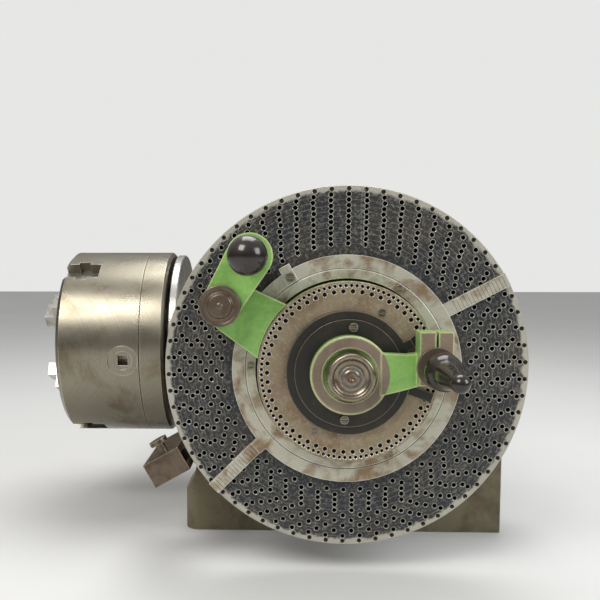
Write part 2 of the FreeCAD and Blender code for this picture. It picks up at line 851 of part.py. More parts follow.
def crank_casting():
    """Hub drum with the arm that reaches out to the link's pivot."""
    bore = dim("shaft_radius") + 0.02
    front = ahead(dim("small_plate_front") - dim("small_plate_thickness"))
    drum = on_crank_axis("CrankDrum", [
        (ahead(-24), bore), (ahead(-24), 20), (ahead(1), 20), (ahead(1), dim("hub_radius") - 4),
        (ahead(5), dim("hub_radius")), (front, dim("hub_radius")), (front, 66),
        (ahead(19.6), 66), (ahead(19.6), 52), (ahead(2.6), 52), (ahead(2.6), bore),
    ])
    body = new_body("CrankArm")
    arm = new_sketch(body, "XZ_Plane", -ahead(13))
    px, pz = dim("pivot_x"), CENTRE + dim("pivot_up")
    polygon(arm, [
        (-48, CENTRE + 54), (px + 24, pz + 13), (px + 4, pz + 14), (px - 10, pz + 6),
        (px - 13, pz - 10), (px - 4, pz - 20), (-70, CENTRE + 8), (-58, CENTRE + 30),
    ])
    pad(body, arm, 9)
    boss = along_y("PivotBoss", 15, ahead(25.7), ahead(21.5), px, pz)
    stud_hole = along_y("PivotStudHole", 6.02, ahead(30), ahead(10), px, pz)
    inside = fuse("DrumClear", [
        along_y("DrumInside", dim("hub_radius") - 2, ahead(30), ahead(0)),
        along_y("SmallPlateClear", dim("hub_radius") + 0.4, ahead(30), front),
    ])
    flange = cut("CrankFlange", fuse("CrankFlangeSolid", [body, boss]), stud_hole)
    outer = cut("CrankFlangeOuter", flange, inside)
    part(fuse("CrankCasting", [drum, outer]), "crank_casting")


def crank_link():
    """Adjusting link between the pivot and the index pin."""
    back, thick = dim("link_back"), dim("link_thickness")
    px, pz = dim("pivot_x"), CENTRE + dim("pivot_up")
    x, up = polar(dim("crank_circle"), dim("pin_angle"))
    z = CENTRE + up
    dx, dz = x - px, up - dim("pivot_up")
    # the two sides run parallel to the line between the centres
    length = math.hypot(dx.number, dz.number)
    across_x, across_z = dz.number / length, -dx.number / length
    body = new_body("LinkBar")
    bar = new_sketch(body, "XZ_Plane", -ahead(back))
    polygon(bar, [
        (px + 15.5 * across_x, pz + 15.5 * across_z), (x + 18.5 * across_x, z + 18.5 * across_z),
        (x - 18.5 * across_x, z - 18.5 * across_z), (px - 15.5 * across_x, pz - 15.5 * across_z),
    ])
    pad(body, bar, thick)
    eye = along_y("LinkEye", 18.5, ahead(back + thick), ahead(back), x, z)
    root = along_y("LinkRoot", 16.7, ahead(back + thick), ahead(back), px, pz)
    tools = [
        along_y("LinkPivotBore", 6.06, ahead(80), ahead(0), px, pz),
        along_y("LinkPinBore", 8.02, ahead(80), ahead(0), x, z),
    ]
    solid = fuse("LinkSolid", [body, eye, root])
    part(cut("CrankLink", solid, fuse("LinkTools", tools)), "crank_link")
    stud = along_y("PivotStud", 6, ahead(back + thick + 4), ahead(13), px, pz)
    cap = along_y("PivotCap", dim("cap_radius"), ahead(back + thick + 6), ahead(back + thick + 0.3), px, pz)
    dome = along_y("PivotDome", 9.3, ahead(back + thick + 9), ahead(back + thick + 5), px, pz)
    slot = box("PivotSlot", px - 9, ahead(back + thick + 10), pz - 1, 18, 2.5, 2)
    part(cut("PivotCapScrew", fuse("PivotCapSolid", [stud, cap, dome]), slot), "pivot_cap")


def plunger(prefix, x, z, tip, sleeve_back, sleeve_front, collar_back, collar, knob_end):
    """Sleeve and pin of an index plunger, both along Y at (x, z)."""
    bore = 5
    sleeve = cut(
        prefix + "Sleeve",
        fuse(prefix + "SleeveSolid", [
            along_y(prefix + "Tube", bore + 3, ahead(sleeve_front), ahead(sleeve_back), x, z),
            along_y(prefix + "Collar", collar, ahead(sleeve_front), ahead(collar_back), x, z),
        ]),
        fuse(prefix + "SleeveTools", [
            along_y(prefix + "Room", bore, ahead(sleeve_front - 4), ahead(sleeve_back - 1), x, z),
            along_y(prefix + "Guide", 3.05, ahead(sleeve_front + 1), ahead(sleeve_back), x, z),
        ]),
    )
    pin = fuse(prefix + "Pin", [
        along_y(prefix + "Stem", 3, ahead(knob_end), ahead(sleeve_back + 9), x, z),
        along_y(prefix + "Head", bore - 0.05, ahead(sleeve_back + 10), ahead(sleeve_back), x, z),
        along_y(prefix + "Tip", 1.7, ahead(sleeve_back + 1), ahead(tip), x, z),
    ])
    return sleeve, pin


def coil_spring(x, z, back, front, middle, wire, turns):
    """A square-wire compression spring along Y."""
    height = front - back - wire
    helix = Part.makeHelix(height / turns, height, middle)
    half = wire / 2
    section = Part.makePolygon([
        Vector(middle - half, 0, -half), Vector(middle + half, 0, -half),
        Vector(middle + half, 0, half), Vector(middle - half, 0, half),
        Vector(middle - half, 0, -half),
    ])
    coil = Part.Wire(helix).makePipeShell([section], True, True)
    coil.rotate(Vector(), Vector(1, 0, 0), 90)
    coil.translate(Vector(x.number, ahead(back).number - half, z.number))
    return coil


def ball_knob(name, x, z, radius, middle, neck_from, neck):
    """A turned ball on a short neck, along Y."""
    ball = doc.addObject("Part::Sphere", name + "Ball")
    bind(ball, "Radius", radius)
    place(ball, x, ahead(middle), z)
    stalk = along_y(name + "Neck", neck, ahead(middle), ahead(neck_from), x, z)
    bore = along_y(name + "Bore", 3.01, ahead(middle + 2), ahead(neck_from - 1), x, z)
    return cut(name, fuse(name + "Solid", [ball, stalk]), bore)


def index_plunger():
    """The large crank's index pin, drawn clear of the sector arms."""
    x, up = polar(dim("crank_circle"), dim("pin_angle"))
    z = CENTRE + up
    sleeve, pin = plunger("Index", x, z, 5, 14, 44, 39.1, 12, 76)
    part(sleeve, "index_sleeve")
    part(pin, "index_pin")
    part(set_shape("IndexSpring", coil_spring(x, z, 24.3, 39.7, 4, 1, 4)), "index_spring")
    part(ball_knob("IndexKnob", x, z, dim("knob_radius"), dim("knob_middle"), 55.5, 6.5),
         "index_knob")


# ---------------------------------------------------------------------------
# Wide-range divider: small plate, small sector, small crank and planets
# ---------------------------------------------------------------------------

def small_index_plate():
    """Bronze-coloured plate screwed to the front of the crank drum."""
    front, thick = dim("small_plate_front"), dim("small_plate_thickness")
    back = ahead(front) + thick
    body = drilled_ring("SmallPlate", ring(back, ahead(front), 24, dim("hub_radius"), 0.5),
                        back, 20, [(dim("small_circle"), 54, dim("small_pin_angle"))])
    part(body, "small_index_plate")
    spots = [polar(55.5, 61), polar(55.5, 241)]
    slotted_screws("small_plate_screws", spots, 3.6, ahead(front), 0.2)


def small_sector():
    """Black sector rings of the small plate and the disc that keeps them."""
    front, inner = dim("small_plate_front"), dim("retainer_radius") + 0.2
    outer = dim("small_sector_radius")
    part(on_crank_axis("SmallRetainer", [
        (ahead(front), 24), (ahead(front), inner - 0.2), (ahead(front + 5), inner - 0.2),
        (ahead(front + 5), inner + 1.8), (ahead(front + 6.5), inner + 1.8),
        (ahead(front + 6.5), 24),
    ]), "small_retainer")
    rings = (
        ("small_sector_first", 0.3, 2.3, "small_first_angle", False),
        ("small_sector_second", 2.6, 4.7, "small_second_angle", True),
    )
    for label, low, high, angle, lead in rings:
        hoop = cut(label + "Hoop",
                   along_y(label + "Outer", outer, ahead(front + high), ahead(front + low)),
                   along_y(label + "Inner", inner, ahead(60), ahead(0)))
        blade = sector_blade(label + "Blade", ahead(front), outer - 3, 71, 0.3, 2.3, 8,
                             dim(angle), lead)
        pieces = [hoop, blade]
        if lead:
            pieces[1] = sector_blade(label + "Blade", ahead(front), outer + 0.6, 71, 0.3, 2.3, 8,
                                     dim(angle), lead)
            pieces.append(sector_blade(label + "Root", ahead(front), outer - 3, outer + 6,
                                       low, high, 8, dim(angle), lead))
            pieces.append(sector_blade(label + "Step", ahead(front), outer + 0.6, outer + 6,
                                       0.3, high, 8, dim(angle), lead))
        part(fuse(label + "Arm", pieces), label)
    spots = [polar(37.6, 85), polar(37.6, 265)]
    slotted_screws("small_retainer_screws", spots, 3.6, ahead(front + 6.5), 2.4)


def planetary():
    """Hundred-to-one reduction: 22-20 and 18-20 teeth at one centre distance."""
    numbers = DIMENSIONS
    height, offset = numbers["centre_height"], numbers["sun_offset"]
    first, second = offset / 21, offset / 19
    face = ahead(0).number
    sun = gear_solid(22, first, 5, 9.02)
    sun = gear_on_y(sun, face - 14.2, 0, height, 0)
    sleeve = along_y("SunSleeve", 13, ahead(30), ahead(19), 0, CENTRE)
    sleeve_bore = along_y("SunSleeveBore", 9.02, ahead(31), ahead(13), 0, CENTRE)
    spigot = along_y("SunSpigot", 51.9, ahead(20.4), ahead(19.2), 0, CENTRE)
    flange = along_y("SunFlange", 65.9, ahead(20.4), ahead(19.6), 0, CENTRE)
    fixed = fuse("FixedSunSolid", [set_shape("FixedSunTeeth", sun), sleeve, spigot, flange])
    part(cut("FixedSun", fixed, sleeve_bore), "fixed_sun")
    slow = gear_solid(20, second, 5, 8.04)
    part(set_shape("SlowSun", gear_on_y(slow, face - 3.2, 0, height, 0)), "slow_sun")
    planet = gear_solid(20, first, 5, 0.01)
    planet = gear_on_y(planet, face - 14.2, offset, height, 180 / 20)
    lower = gear_solid(18, second, 5, 0.01)
    lower = gear_on_y(lower, face - 3.2, offset, height, 180 / 18)
    planet_hub = Part.makeCylinder(5, 6.2, Vector(offset, face - 14.3, height), Vector(0, 1, 0))
    part(set_shape("Planets", planet.fuse([lower, planet_hub])), "planet_pair")


def small_crank():
    """Small crank: carrier shaft, painted arm with a split clamp, turned nut."""
    back, front = dim("small_hub_back"), dim("small_hub_front")
    carrier = fuse("CarrierSolid", [
        along_y("CarrierShaft", 9, ahead(54), ahead(9), 0, CENTRE),
        box("CarrierArm", -11, ahead(13.8), CENTRE - 11, dim("sun_offset") + 22, 4.8, 22),
    ])
    carrier_tools = [
        along_y("CarrierPinBore", 5.05, ahead(20), ahead(0), dim("sun_offset"), CENTRE),
        along_y("CarrierStubRoom", 8.05, ahead(9.2), ahead(0), 0, CENTRE),
    ]
    part(cut("Carrier", carrier, fuse("CarrierTools", carrier_tools)), "carrier_shaft")
    hub = on_crank_axis("SmallCrankHub", [
        (ahead(back), 9.02), (ahead(back), dim("small_hub_radius")),
        (ahead(front - 1), dim("small_hub_radius")), (ahead(front), dim("small_hub_radius") - 1),
        (ahead(front), 21.6), (ahead(front - 4), 21.6), (ahead(front - 4), 9.02),
    ])
    body = new_body("SmallCrankArm")
    arm = new_sketch(body, "XZ_Plane", -ahead(back + 2))
    polygon(arm, [
        (24, CENTRE + 18), (44, CENTRE + 17), (54, CENTRE + 18), (54, CENTRE - 8),
        (40, CENTRE - 12), (24, CENTRE - 16),
    ])
    pad(body, arm, 10)
    x, up = polar(dim("small_circle"), dim("small_pin_angle"))
    z = CENTRE + up
    block = box("ClampBlock", 52, ahead(dim("clamp_front")), CENTRE - 6, 26,
                dim("clamp_front") - 35, 42)
    tools = [
        box("ClampSlit", x - 1, ahead(60), z, 2, 40, 60),
        along_y("ClampBore", 8.02, ahead(60), ahead(20), x, z),
    ]
    clear = along_y("HubClear", 24, ahead(70), ahead(0))
    outer = cut("SmallCrankOuter", fuse("SmallCrankOuterSolid", [body, block]),
                fuse("SmallCrankTools", tools + [clear]))
    part(fuse("SmallCrank", [hub, outer]), "small_crank")
    nut = dim("nut_radius")
    part(on_crank_axis("HubNut", [
        (ahead(front - 3.7), 9.02), (ahead(front - 3.7), nut), (ahead(54), nut),
        (ahead(55.5), nut - 1.5), (ahead(55.5), nut - 6.3), (ahead(54.2), 9.02),
    ]), "hub_nut")


def small_plunger():
    """The small crank's index pin, drawn clear of the small sector."""
    x, up = polar(dim("small_circle"), dim("small_pin_angle"))
    z = CENTRE + up
    sleeve, pin = plunger("Small", x, z, 26.6, 34, 58, 55.1, 16, 80)
    part(sleeve, "small_sleeve")
    part(pin, "small_pin")
    part(set_shape("SmallSpring", coil_spring(x, z, 44.3, 53.7, 4, 1, 3)), "small_spring")
    radius, ball_at = dim("small_knob_radius"), dim("small_knob_middle")
    ball = ball_knob("SmallBall", x, z, radius, ball_at, 64.2, 6)
    # a slim waist leads from the ball to the round end that the fingers pull on
    waist = doc.addObject("Part::Cone", "GripWaist")
    bind(waist, "Radius1", radius * 0.72)
    bind(waist, "Radius2", dim("grip_waist"))
    bind(waist, "Height", dim("grip_reach") - radius * 0.6)
    place(waist, x, ahead(ball_at + radius * 0.6), z, (1, 0, 0), 90)
    bead = doc.addObject("Part::Sphere", "GripBead")
    bind(bead, "Radius", dim("grip_bead"))
    place(bead, x, ahead(ball_at + dim("grip_reach")), z)
    part(fuse("SmallHandle", [ball, waist, bead]), "small_knob")


# ---------------------------------------------------------------------------
# Plate stop
# ---------------------------------------------------------------------------

def plate_stop():
    """Bracket behind the large plate, with a finger that enters its rim holes."""
    angle = dim("stop_angle")
    sleeve = dim("sleeve_radius") + 0.02
    clamp = cut("StopClamp", along_y("StopHub", 40, -150, -134),
                along_y("StopHubBore", sleeve, -160, -120))
    arm = turn_blade(box("StopArm", 33, -148, -11, 157, 12, 22), angle)
    post = turn_blade(box("StopPost", 158, -223, -11, 34, 87, 22), angle)
    window = turn_blade(box("StopWindow", 150, -221, -5.2, 30, 28, 10.4), angle)
    solid = fuse("StopSolid", [clamp, arm, post])
    part(cut("StopBracket", solid, window), "stop_bracket")
    finger = turn_blade(box("StopFinger", 144, -205, -5, 35, 9, 10), angle)
    x, up = polar(dim("outer_circle"), angle)
    tip = along_y("StopTip", 1.7, -211.7, -200, x, CENTRE + up)
    part(fuse("StopFingerSolid", [finger, tip]), "stop_finger")
    screw = fuse("StopScrewSolid", [
        cylinder("StopScrewStem", 3.4, 9, 172, -213, -20),
        cylinder("StopScrewHead", 8, 4, 172, -213, -24),
    ])
    holder = doc.addObject("Part::Compound", "StopScrewTurned")
    holder.Links = [screw]
    part(place(holder, 0, 0, CENTRE, CRANK_TURN, angle), "stop_screw")


# ---------------------------------------------------------------------------
# Assembly
# ---------------------------------------------------------------------------

def check_and_export():
    """Stop on any failed object, then write one STEP file for each sub-part."""
    doc.recompute()
    for item in doc.Objects:
        if "Invalid" in item.State or "Error" in item.State:
            raise RuntimeError(f"{item.Name} ({item.Label}) failed: {item.State}")
    os.makedirs("parts", exist_ok=True)
    for item in PARTS:
        shape = item.Shape
        if shape.isNull() or not shape.isValid() or not shape.Solids:
            raise RuntimeError(f"{item.Label} has no valid solid")
        shape.exportStep(f"parts/{item.Label}.step")
        print(f"{item.Label:24s} {len(shape.Solids)} solids {shape.Volume / 1000:9.2f} cm3")
    print(len(PARTS), "sub-parts")


def main():
    """Build every sub-assembly in order, from the base upwards."""
    base_casting()
    trunnion_strap("strap_front", -97)
    trunnion_strap("strap_rear", 97)
    strap_bolts()
    swivel_block()
    front_trunnion()
    cap_screws("trunnion_screws", [polar(69, a) for a in (45, 135, 225, 315)],
               6.5, -110, 6, -116)
    bushes()
    spindle()
    chuck()
    chuck_screws()
    gear_train()
    crank_shaft()
    large_index_plate()
    sector_arms()
    crank_casting()
    crank_link()
    index_plunger()
    small_index_plate()
    small_sector()
    planetary()
    small_crank()
    small_plunger()
    plate_stop()
    check_and_export()


main()
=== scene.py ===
"""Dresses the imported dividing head: drilled plates, turned parts, finishes and light.

Everything is in metres in the row frame: +Z up, the spindle along X with its nose
towards -X, and the index plates facing -Y.
"""
import json
import logging
import math
from collections.abc import Callable
from dataclasses import dataclass, field, replace
from enum import Enum

import bmesh
import bpy
import numpy as np
from mathutils import Matrix, Vector
from mathutils.geometry import delaunay_2d_cdt


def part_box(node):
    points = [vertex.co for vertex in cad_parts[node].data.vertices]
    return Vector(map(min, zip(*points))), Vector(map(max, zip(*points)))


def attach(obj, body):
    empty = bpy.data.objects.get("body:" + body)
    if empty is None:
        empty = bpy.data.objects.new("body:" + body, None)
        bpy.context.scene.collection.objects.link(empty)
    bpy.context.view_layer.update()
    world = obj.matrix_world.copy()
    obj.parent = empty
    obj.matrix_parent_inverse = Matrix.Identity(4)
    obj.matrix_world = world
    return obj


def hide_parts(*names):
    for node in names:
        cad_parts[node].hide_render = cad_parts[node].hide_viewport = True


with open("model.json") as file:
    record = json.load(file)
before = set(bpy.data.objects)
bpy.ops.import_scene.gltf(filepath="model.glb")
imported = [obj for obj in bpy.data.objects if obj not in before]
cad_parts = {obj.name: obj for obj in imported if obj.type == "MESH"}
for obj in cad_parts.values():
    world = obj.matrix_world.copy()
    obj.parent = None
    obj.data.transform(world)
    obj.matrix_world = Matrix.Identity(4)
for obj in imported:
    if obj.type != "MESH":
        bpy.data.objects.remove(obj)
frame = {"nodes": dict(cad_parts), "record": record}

LOG = logging.getLogger("dividing_head")
MM = 0.001
Colour = tuple[float, float, float]
Placer = Callable[[np.ndarray, float | np.ndarray], np.ndarray]


class Slot(Enum):
    """Material slots of the record, passed with each new piece but not read."""

    PLATE = "plate_steel"
    BRONZE = "bronze_plate"
    SECTOR = "sector_steel"
    BRIGHT = "bright_steel"
    BROWN = "brown_steel"
    BLACK = "black_steel"
    BALL = "ball_black"
    SCREW = "screw_steel"


class Turning(Enum):
    """The axis that a surface was turned about, which its tool marks follow."""

    NONE = "none"
    CRANK = "crank"
    SPINDLE = "spindle"


def paint(red: int, green: int, blue: int) -> Colour:
    """Turn screen values from 0 to 255 into the linear colour that a shader takes."""
    values = np.array([red, green, blue]) / 255
    linear = np.where(values < 0.04045, values / 12.92, ((values + 0.055) / 1.055) ** 2.4)
    return tuple(float(v) for v in linear)


def middle(node: str) -> Vector:
    """The middle of a CAD node's box."""
    low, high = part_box(node)
    return (low + high) / 2


# Finishes

class Graph:
    """A material's node tree, with short calls for the nodes that the finishes share."""

    def __init__(self, name: str) -> None:
        """Start an empty material of this name with one shader."""
        self.material = bpy.data.materials.new(name)
        self.material.use_nodes = True
        self.tree = self.material.node_tree
        self.tree.nodes.clear()
        self.shader = self.node("ShaderNodeBsdfPrincipled")
        output = self.node("ShaderNodeOutputMaterial")
        self.link(self.shader.outputs["BSDF"], output.inputs["Surface"])

    def node(self, kind: str, **settings: object) -> bpy.types.Node:
        """Add a node of this kind and set its named properties."""
        made = self.tree.nodes.new(kind)
        for key, value in settings.items():
            setattr(made, key, value)
        return made

    def link(self, source: bpy.types.NodeSocket, target: bpy.types.NodeSocket) -> None:
        """Join two sockets."""
        self.tree.links.new(source, target)

    def feed(self, target: bpy.types.NodeSocket, value: object) -> None:
        """Link a socket, or set a plain number or colour on it."""
        if isinstance(value, bpy.types.NodeSocket):
            self.link(value, target)
        elif isinstance(value, tuple) and len(value) == 3 and target.type == "RGBA":
            target.default_value = (*value, 1.0)
        else:
            target.default_value = value

    def place(self, centre: Vector | None = None) -> bpy.types.NodeSocket:
        """Object coordinates, counted from a centre where one is given."""
        source = self.node("ShaderNodeTexCoord").outputs["Object"]
        if centre is None:
            return source
        moved = self.node("ShaderNodeVectorMath", operation="SUBTRACT")
        self.link(source, moved.inputs[0])
        moved.inputs[1].default_value = tuple(centre)
        return moved.outputs[0]

    def math(self, operation: str, first: object, second: object = 0.0,
             clamp: bool = False) -> bpy.types.NodeSocket:
        """One arithmetic step on two values."""
        made = self.node("ShaderNodeMath", operation=operation, use_clamp=clamp)
        self.feed(made.inputs[0], first)
        self.feed(made.inputs[1], second)
        return made.outputs[0]

    def noise(self, where: bpy.types.NodeSocket, scale: float, detail: float = 4.0,
              roughness: float = 0.55, warp: float = 0.0) -> bpy.types.NodeSocket:
        """Cloudy noise between 0 and 1."""
        made = self.node("ShaderNodeTexNoise")
        self.link(where, made.inputs["Vector"])
        for key, value in (("Scale", scale), ("Detail", detail), ("Roughness", roughness),
                           ("Distortion", warp)):
            made.inputs[key].default_value = value
        return made.outputs["Fac"]

    def ramp(self, value: bpy.types.NodeSocket, low: float, high: float) -> bpy.types.NodeSocket:
        """Stretch a value so that low becomes 0 and high becomes 1."""
        made = self.node("ShaderNodeMapRange", clamp=True)
        self.link(value, made.inputs["Value"])
        made.inputs["From Min"].default_value = low
        made.inputs["From Max"].default_value = high
        return made.outputs["Result"]

    def mix(self, share: object, first: object, second: object) -> bpy.types.NodeSocket:
        """Blend two colours by a share from 0 to 1."""
        made = self.node("ShaderNodeMix", data_type="RGBA")
        self.feed(made.inputs["Factor"], share)
        self.feed(made.inputs[6], first)
        self.feed(made.inputs[7], second)
        return made.outputs[2]

    def radius(self, where: bpy.types.NodeSocket, turning: Turning) -> bpy.types.NodeSocket:
        """Distance from the axis through the given coordinates' origin."""
        flat = self.node("ShaderNodeVectorMath", operation="MULTIPLY")
        self.link(where, flat.inputs[0])
        flat.inputs[1].default_value = (1, 0, 1) if turning is Turning.CRANK else (0, 1, 1)
        length = self.node("ShaderNodeVectorMath", operation="LENGTH")
        self.link(flat.outputs[0], length.inputs[0])
        return length.outputs["Value"]

    def lines(self, value: bpy.types.NodeSocket, scale: float,
              detail: float = 3.0) -> bpy.types.NodeSocket:
        """Noise along one number only, which gives tool marks in rings or bands."""
        made = self.node("ShaderNodeTexNoise", noise_dimensions="1D")
        self.feed(made.inputs["W"], value)
        made.inputs["Scale"].default_value = scale
        made.inputs["Detail"].default_value = detail
        return made.outputs["Fac"]

    def along(self, where: bpy.types.NodeSocket, axis: str) -> bpy.types.NodeSocket:
        """One coordinate of a place."""
        made = self.node("ShaderNodeSeparateXYZ")
        self.link(where, made.inputs[0])
        return made.outputs[axis]

    def rough(self, value: bpy.types.NodeSocket, low: float, high: float) -> None:
        """Spread the shader's roughness from low to high by a value from 0 to 1."""
        made = self.node("ShaderNodeMapRange")
        self.link(value, made.inputs["Value"])
        made.inputs["To Min"].default_value = low
        made.inputs["To Max"].default_value = high
        self.link(made.outputs["Result"], self.shader.inputs["Roughness"])

    def bump(self, height: bpy.types.NodeSocket, strength: float, distance: float,
             normal: bpy.types.NodeSocket | None = None) -> None:
        """Tilt the shader's normal by a height."""
        made = self.node("ShaderNodeBump")
        made.inputs["Strength"].default_value = strength
        made.inputs["Distance"].default_value = distance
        self.link(height, made.inputs["Height"])
        if normal is not None:
            self.link(normal, made.inputs["Normal"])
        self.link(made.outputs["Normal"], self.shader.inputs["Normal"])

    def edge(self, reach: float) -> bpy.types.NodeSocket:
        """Near an edge the rounded normal turns from the face's own: 0 on flats, towards 1."""
        soft = self.node("ShaderNodeBevel", samples=4)
        soft.inputs["Radius"].default_value = reach
        own = self.node("ShaderNodeNewGeometry").outputs["Normal"]
        dot = self.node("ShaderNodeVectorMath", operation="DOT_PRODUCT")
        self.link(soft.outputs["Normal"], dot.inputs[0])
        self.link(own, dot.inputs[1])
        return self.math("SUBTRACT", 1.0, dot.outputs["Value"], clamp=True)


STAIN_MIDDLE = 0.62  # noise level where the stains of a clean finish start
STAIN_SPAN = 0.3  # how far full stains lower it
STAIN_BORDER = 0.16  # softness of a stain's border
MARK_DARK = 0.45  # brightness of tool marks
GRAIN_DARK = 0.5  # brightness of grain
GRAIN_SHARE = 0.35  # the most that grain shows
EDGE_GAIN = 9.0  # weight of a turned normal as rubbing
RAGGED_SCALE = 260.0  # noise along rubbed borders
RAGGED_SHARE = 0.9  # its weight
RUB_START, RUB_FULL = 1.35, 1.7
ROUGH_SPREAD = 0.12  # how far roughness strays
COAT_ROUGH = 0.12
BARE_DARK = 0.55  # brightness of dirty machined faces


@dataclass(frozen=True)
class Finish:
    """A worn workshop finish: patches, fine grain, tool marks, and rubbed edges."""

    name: str
    colour: Colour
    stain: Colour
    worn: Colour
    metal: float = 0.0
    rough: float = 0.5
    patch: float = 25.0
    stained: float = 0.5
    wear: float = 0.5
    reach: float = 0.0012
    grain: float = 0.15
    grain_scale: float = 900.0
    turning: Turning = Turning.NONE
    marks: float = 0.0
    mark_scale: float = 1500.0
    round_edges: float = 0.0005
    coat: float = 0.0
    machined: Colour | None = None
    bare_in_front_of: tuple[float, float] = (0.0, 0.0)
    bare_radius: float = 0.0

    def bare_faces(self, graph: Graph, where: bpy.types.NodeSocket,
                   centre: Vector) -> bpy.types.NodeSocket:
        """Where paint was machined off: the hub's flat face and the clamp's front."""
        depth = graph.along(where, "Y")
        radius = graph.radius(graph.place(centre), Turning.CRANK)
        hub = graph.math("MULTIPLY", graph.math("LESS_THAN", depth, self.bare_in_front_of[0]),
                         graph.math("LESS_THAN", radius, self.bare_radius))
        clamp = graph.math("LESS_THAN", depth, self.bare_in_front_of[1])
        return graph.math("MAXIMUM", hub, clamp)

    def build(self, centre: Vector | None = None) -> bpy.types.Material:
        """Make the material.

        Args:
            centre: a point on the axis that the tool marks go round.

        Returns:
            The finished material.
        """
        graph = Graph(self.name)
        where = graph.place()
        broad = graph.noise(where, self.patch, 5.0, 0.62, 0.4)
        low = STAIN_MIDDLE - STAIN_SPAN * self.stained
        colour = graph.mix(graph.ramp(broad, low, low + STAIN_BORDER), self.colour, self.stain)
        fine = graph.noise(where, self.grain_scale, 2.0, 0.6)
        streaks = fine
        if self.turning is not Turning.NONE:
            local = graph.place(centre) if centre is not None else where
            radius = graph.radius(local, self.turning)
            if self.turning is Turning.SPINDLE:
                radius = graph.math("ADD", radius, graph.along(where, "X"))
            streaks = graph.lines(radius, self.mark_scale)
            dark = tuple(MARK_DARK * c for c in self.colour)
            share = graph.math("MULTIPLY", graph.ramp(streaks, 0.46, 0.75), self.marks)
            colour = graph.mix(share, colour, dark)
        grainy = graph.math("MULTIPLY", graph.ramp(fine, 0.3, 0.8), GRAIN_SHARE)
        colour = graph.mix(grainy, colour, tuple(GRAIN_DARK * c for c in self.colour))
        rubbed = graph.math("MULTIPLY", graph.edge(self.reach), EDGE_GAIN)
        ragged = graph.noise(where, RAGGED_SCALE, 5.0, 0.7)
        rubbed = graph.math("ADD", rubbed, graph.math("MULTIPLY", ragged, RAGGED_SHARE))
        bare = graph.ramp(rubbed, RUB_START - self.wear, RUB_FULL - self.wear)
        if self.machined is not None:
            tone = graph.mix(graph.ramp(broad, 0.35, 0.7), self.machined,
                             tuple(BARE_DARK * c for c in self.machined))
            colour = graph.mix(self.bare_faces(graph, where, centre), colour, tone)
        colour = graph.mix(bare, colour, self.worn)
        graph.feed(graph.shader.inputs["Base Color"], colour)
        graph.feed(graph.shader.inputs["Metallic"], self.metal)
        graph.rough(graph.noise(where, self.patch * 3, 3.0), self.rough - ROUGH_SPREAD,
                    self.rough + ROUGH_SPREAD)
        if self.coat:
            graph.shader.inputs["Coat Weight"].default_value = self.coat
            graph.shader.inputs["Coat Roughness"].default_value = COAT_ROUGH
        rounded = graph.node("ShaderNodeBevel", samples=4)
        rounded.inputs["Radius"].default_value = self.round_edges
        graph.bump(graph.math("ADD", fine, streaks), self.grain, 0.0004,
                   rounded.outputs["Normal"])
        return graph.material


HALO_WIDTH = 0.00055  # where a hole's rubbed ring ends
HALO_CORE = 0.0001  # where it is brightest
SCRIBE_SHARE = 0.4  # brightness of the scribed circles
RIM_RAGGED = 0.008  # how far the rubbed rim's border wanders
RIM_BORDER = 0.0022  # its softness
RIM_SHARE = 0.85  # brightness of the rubbed rim


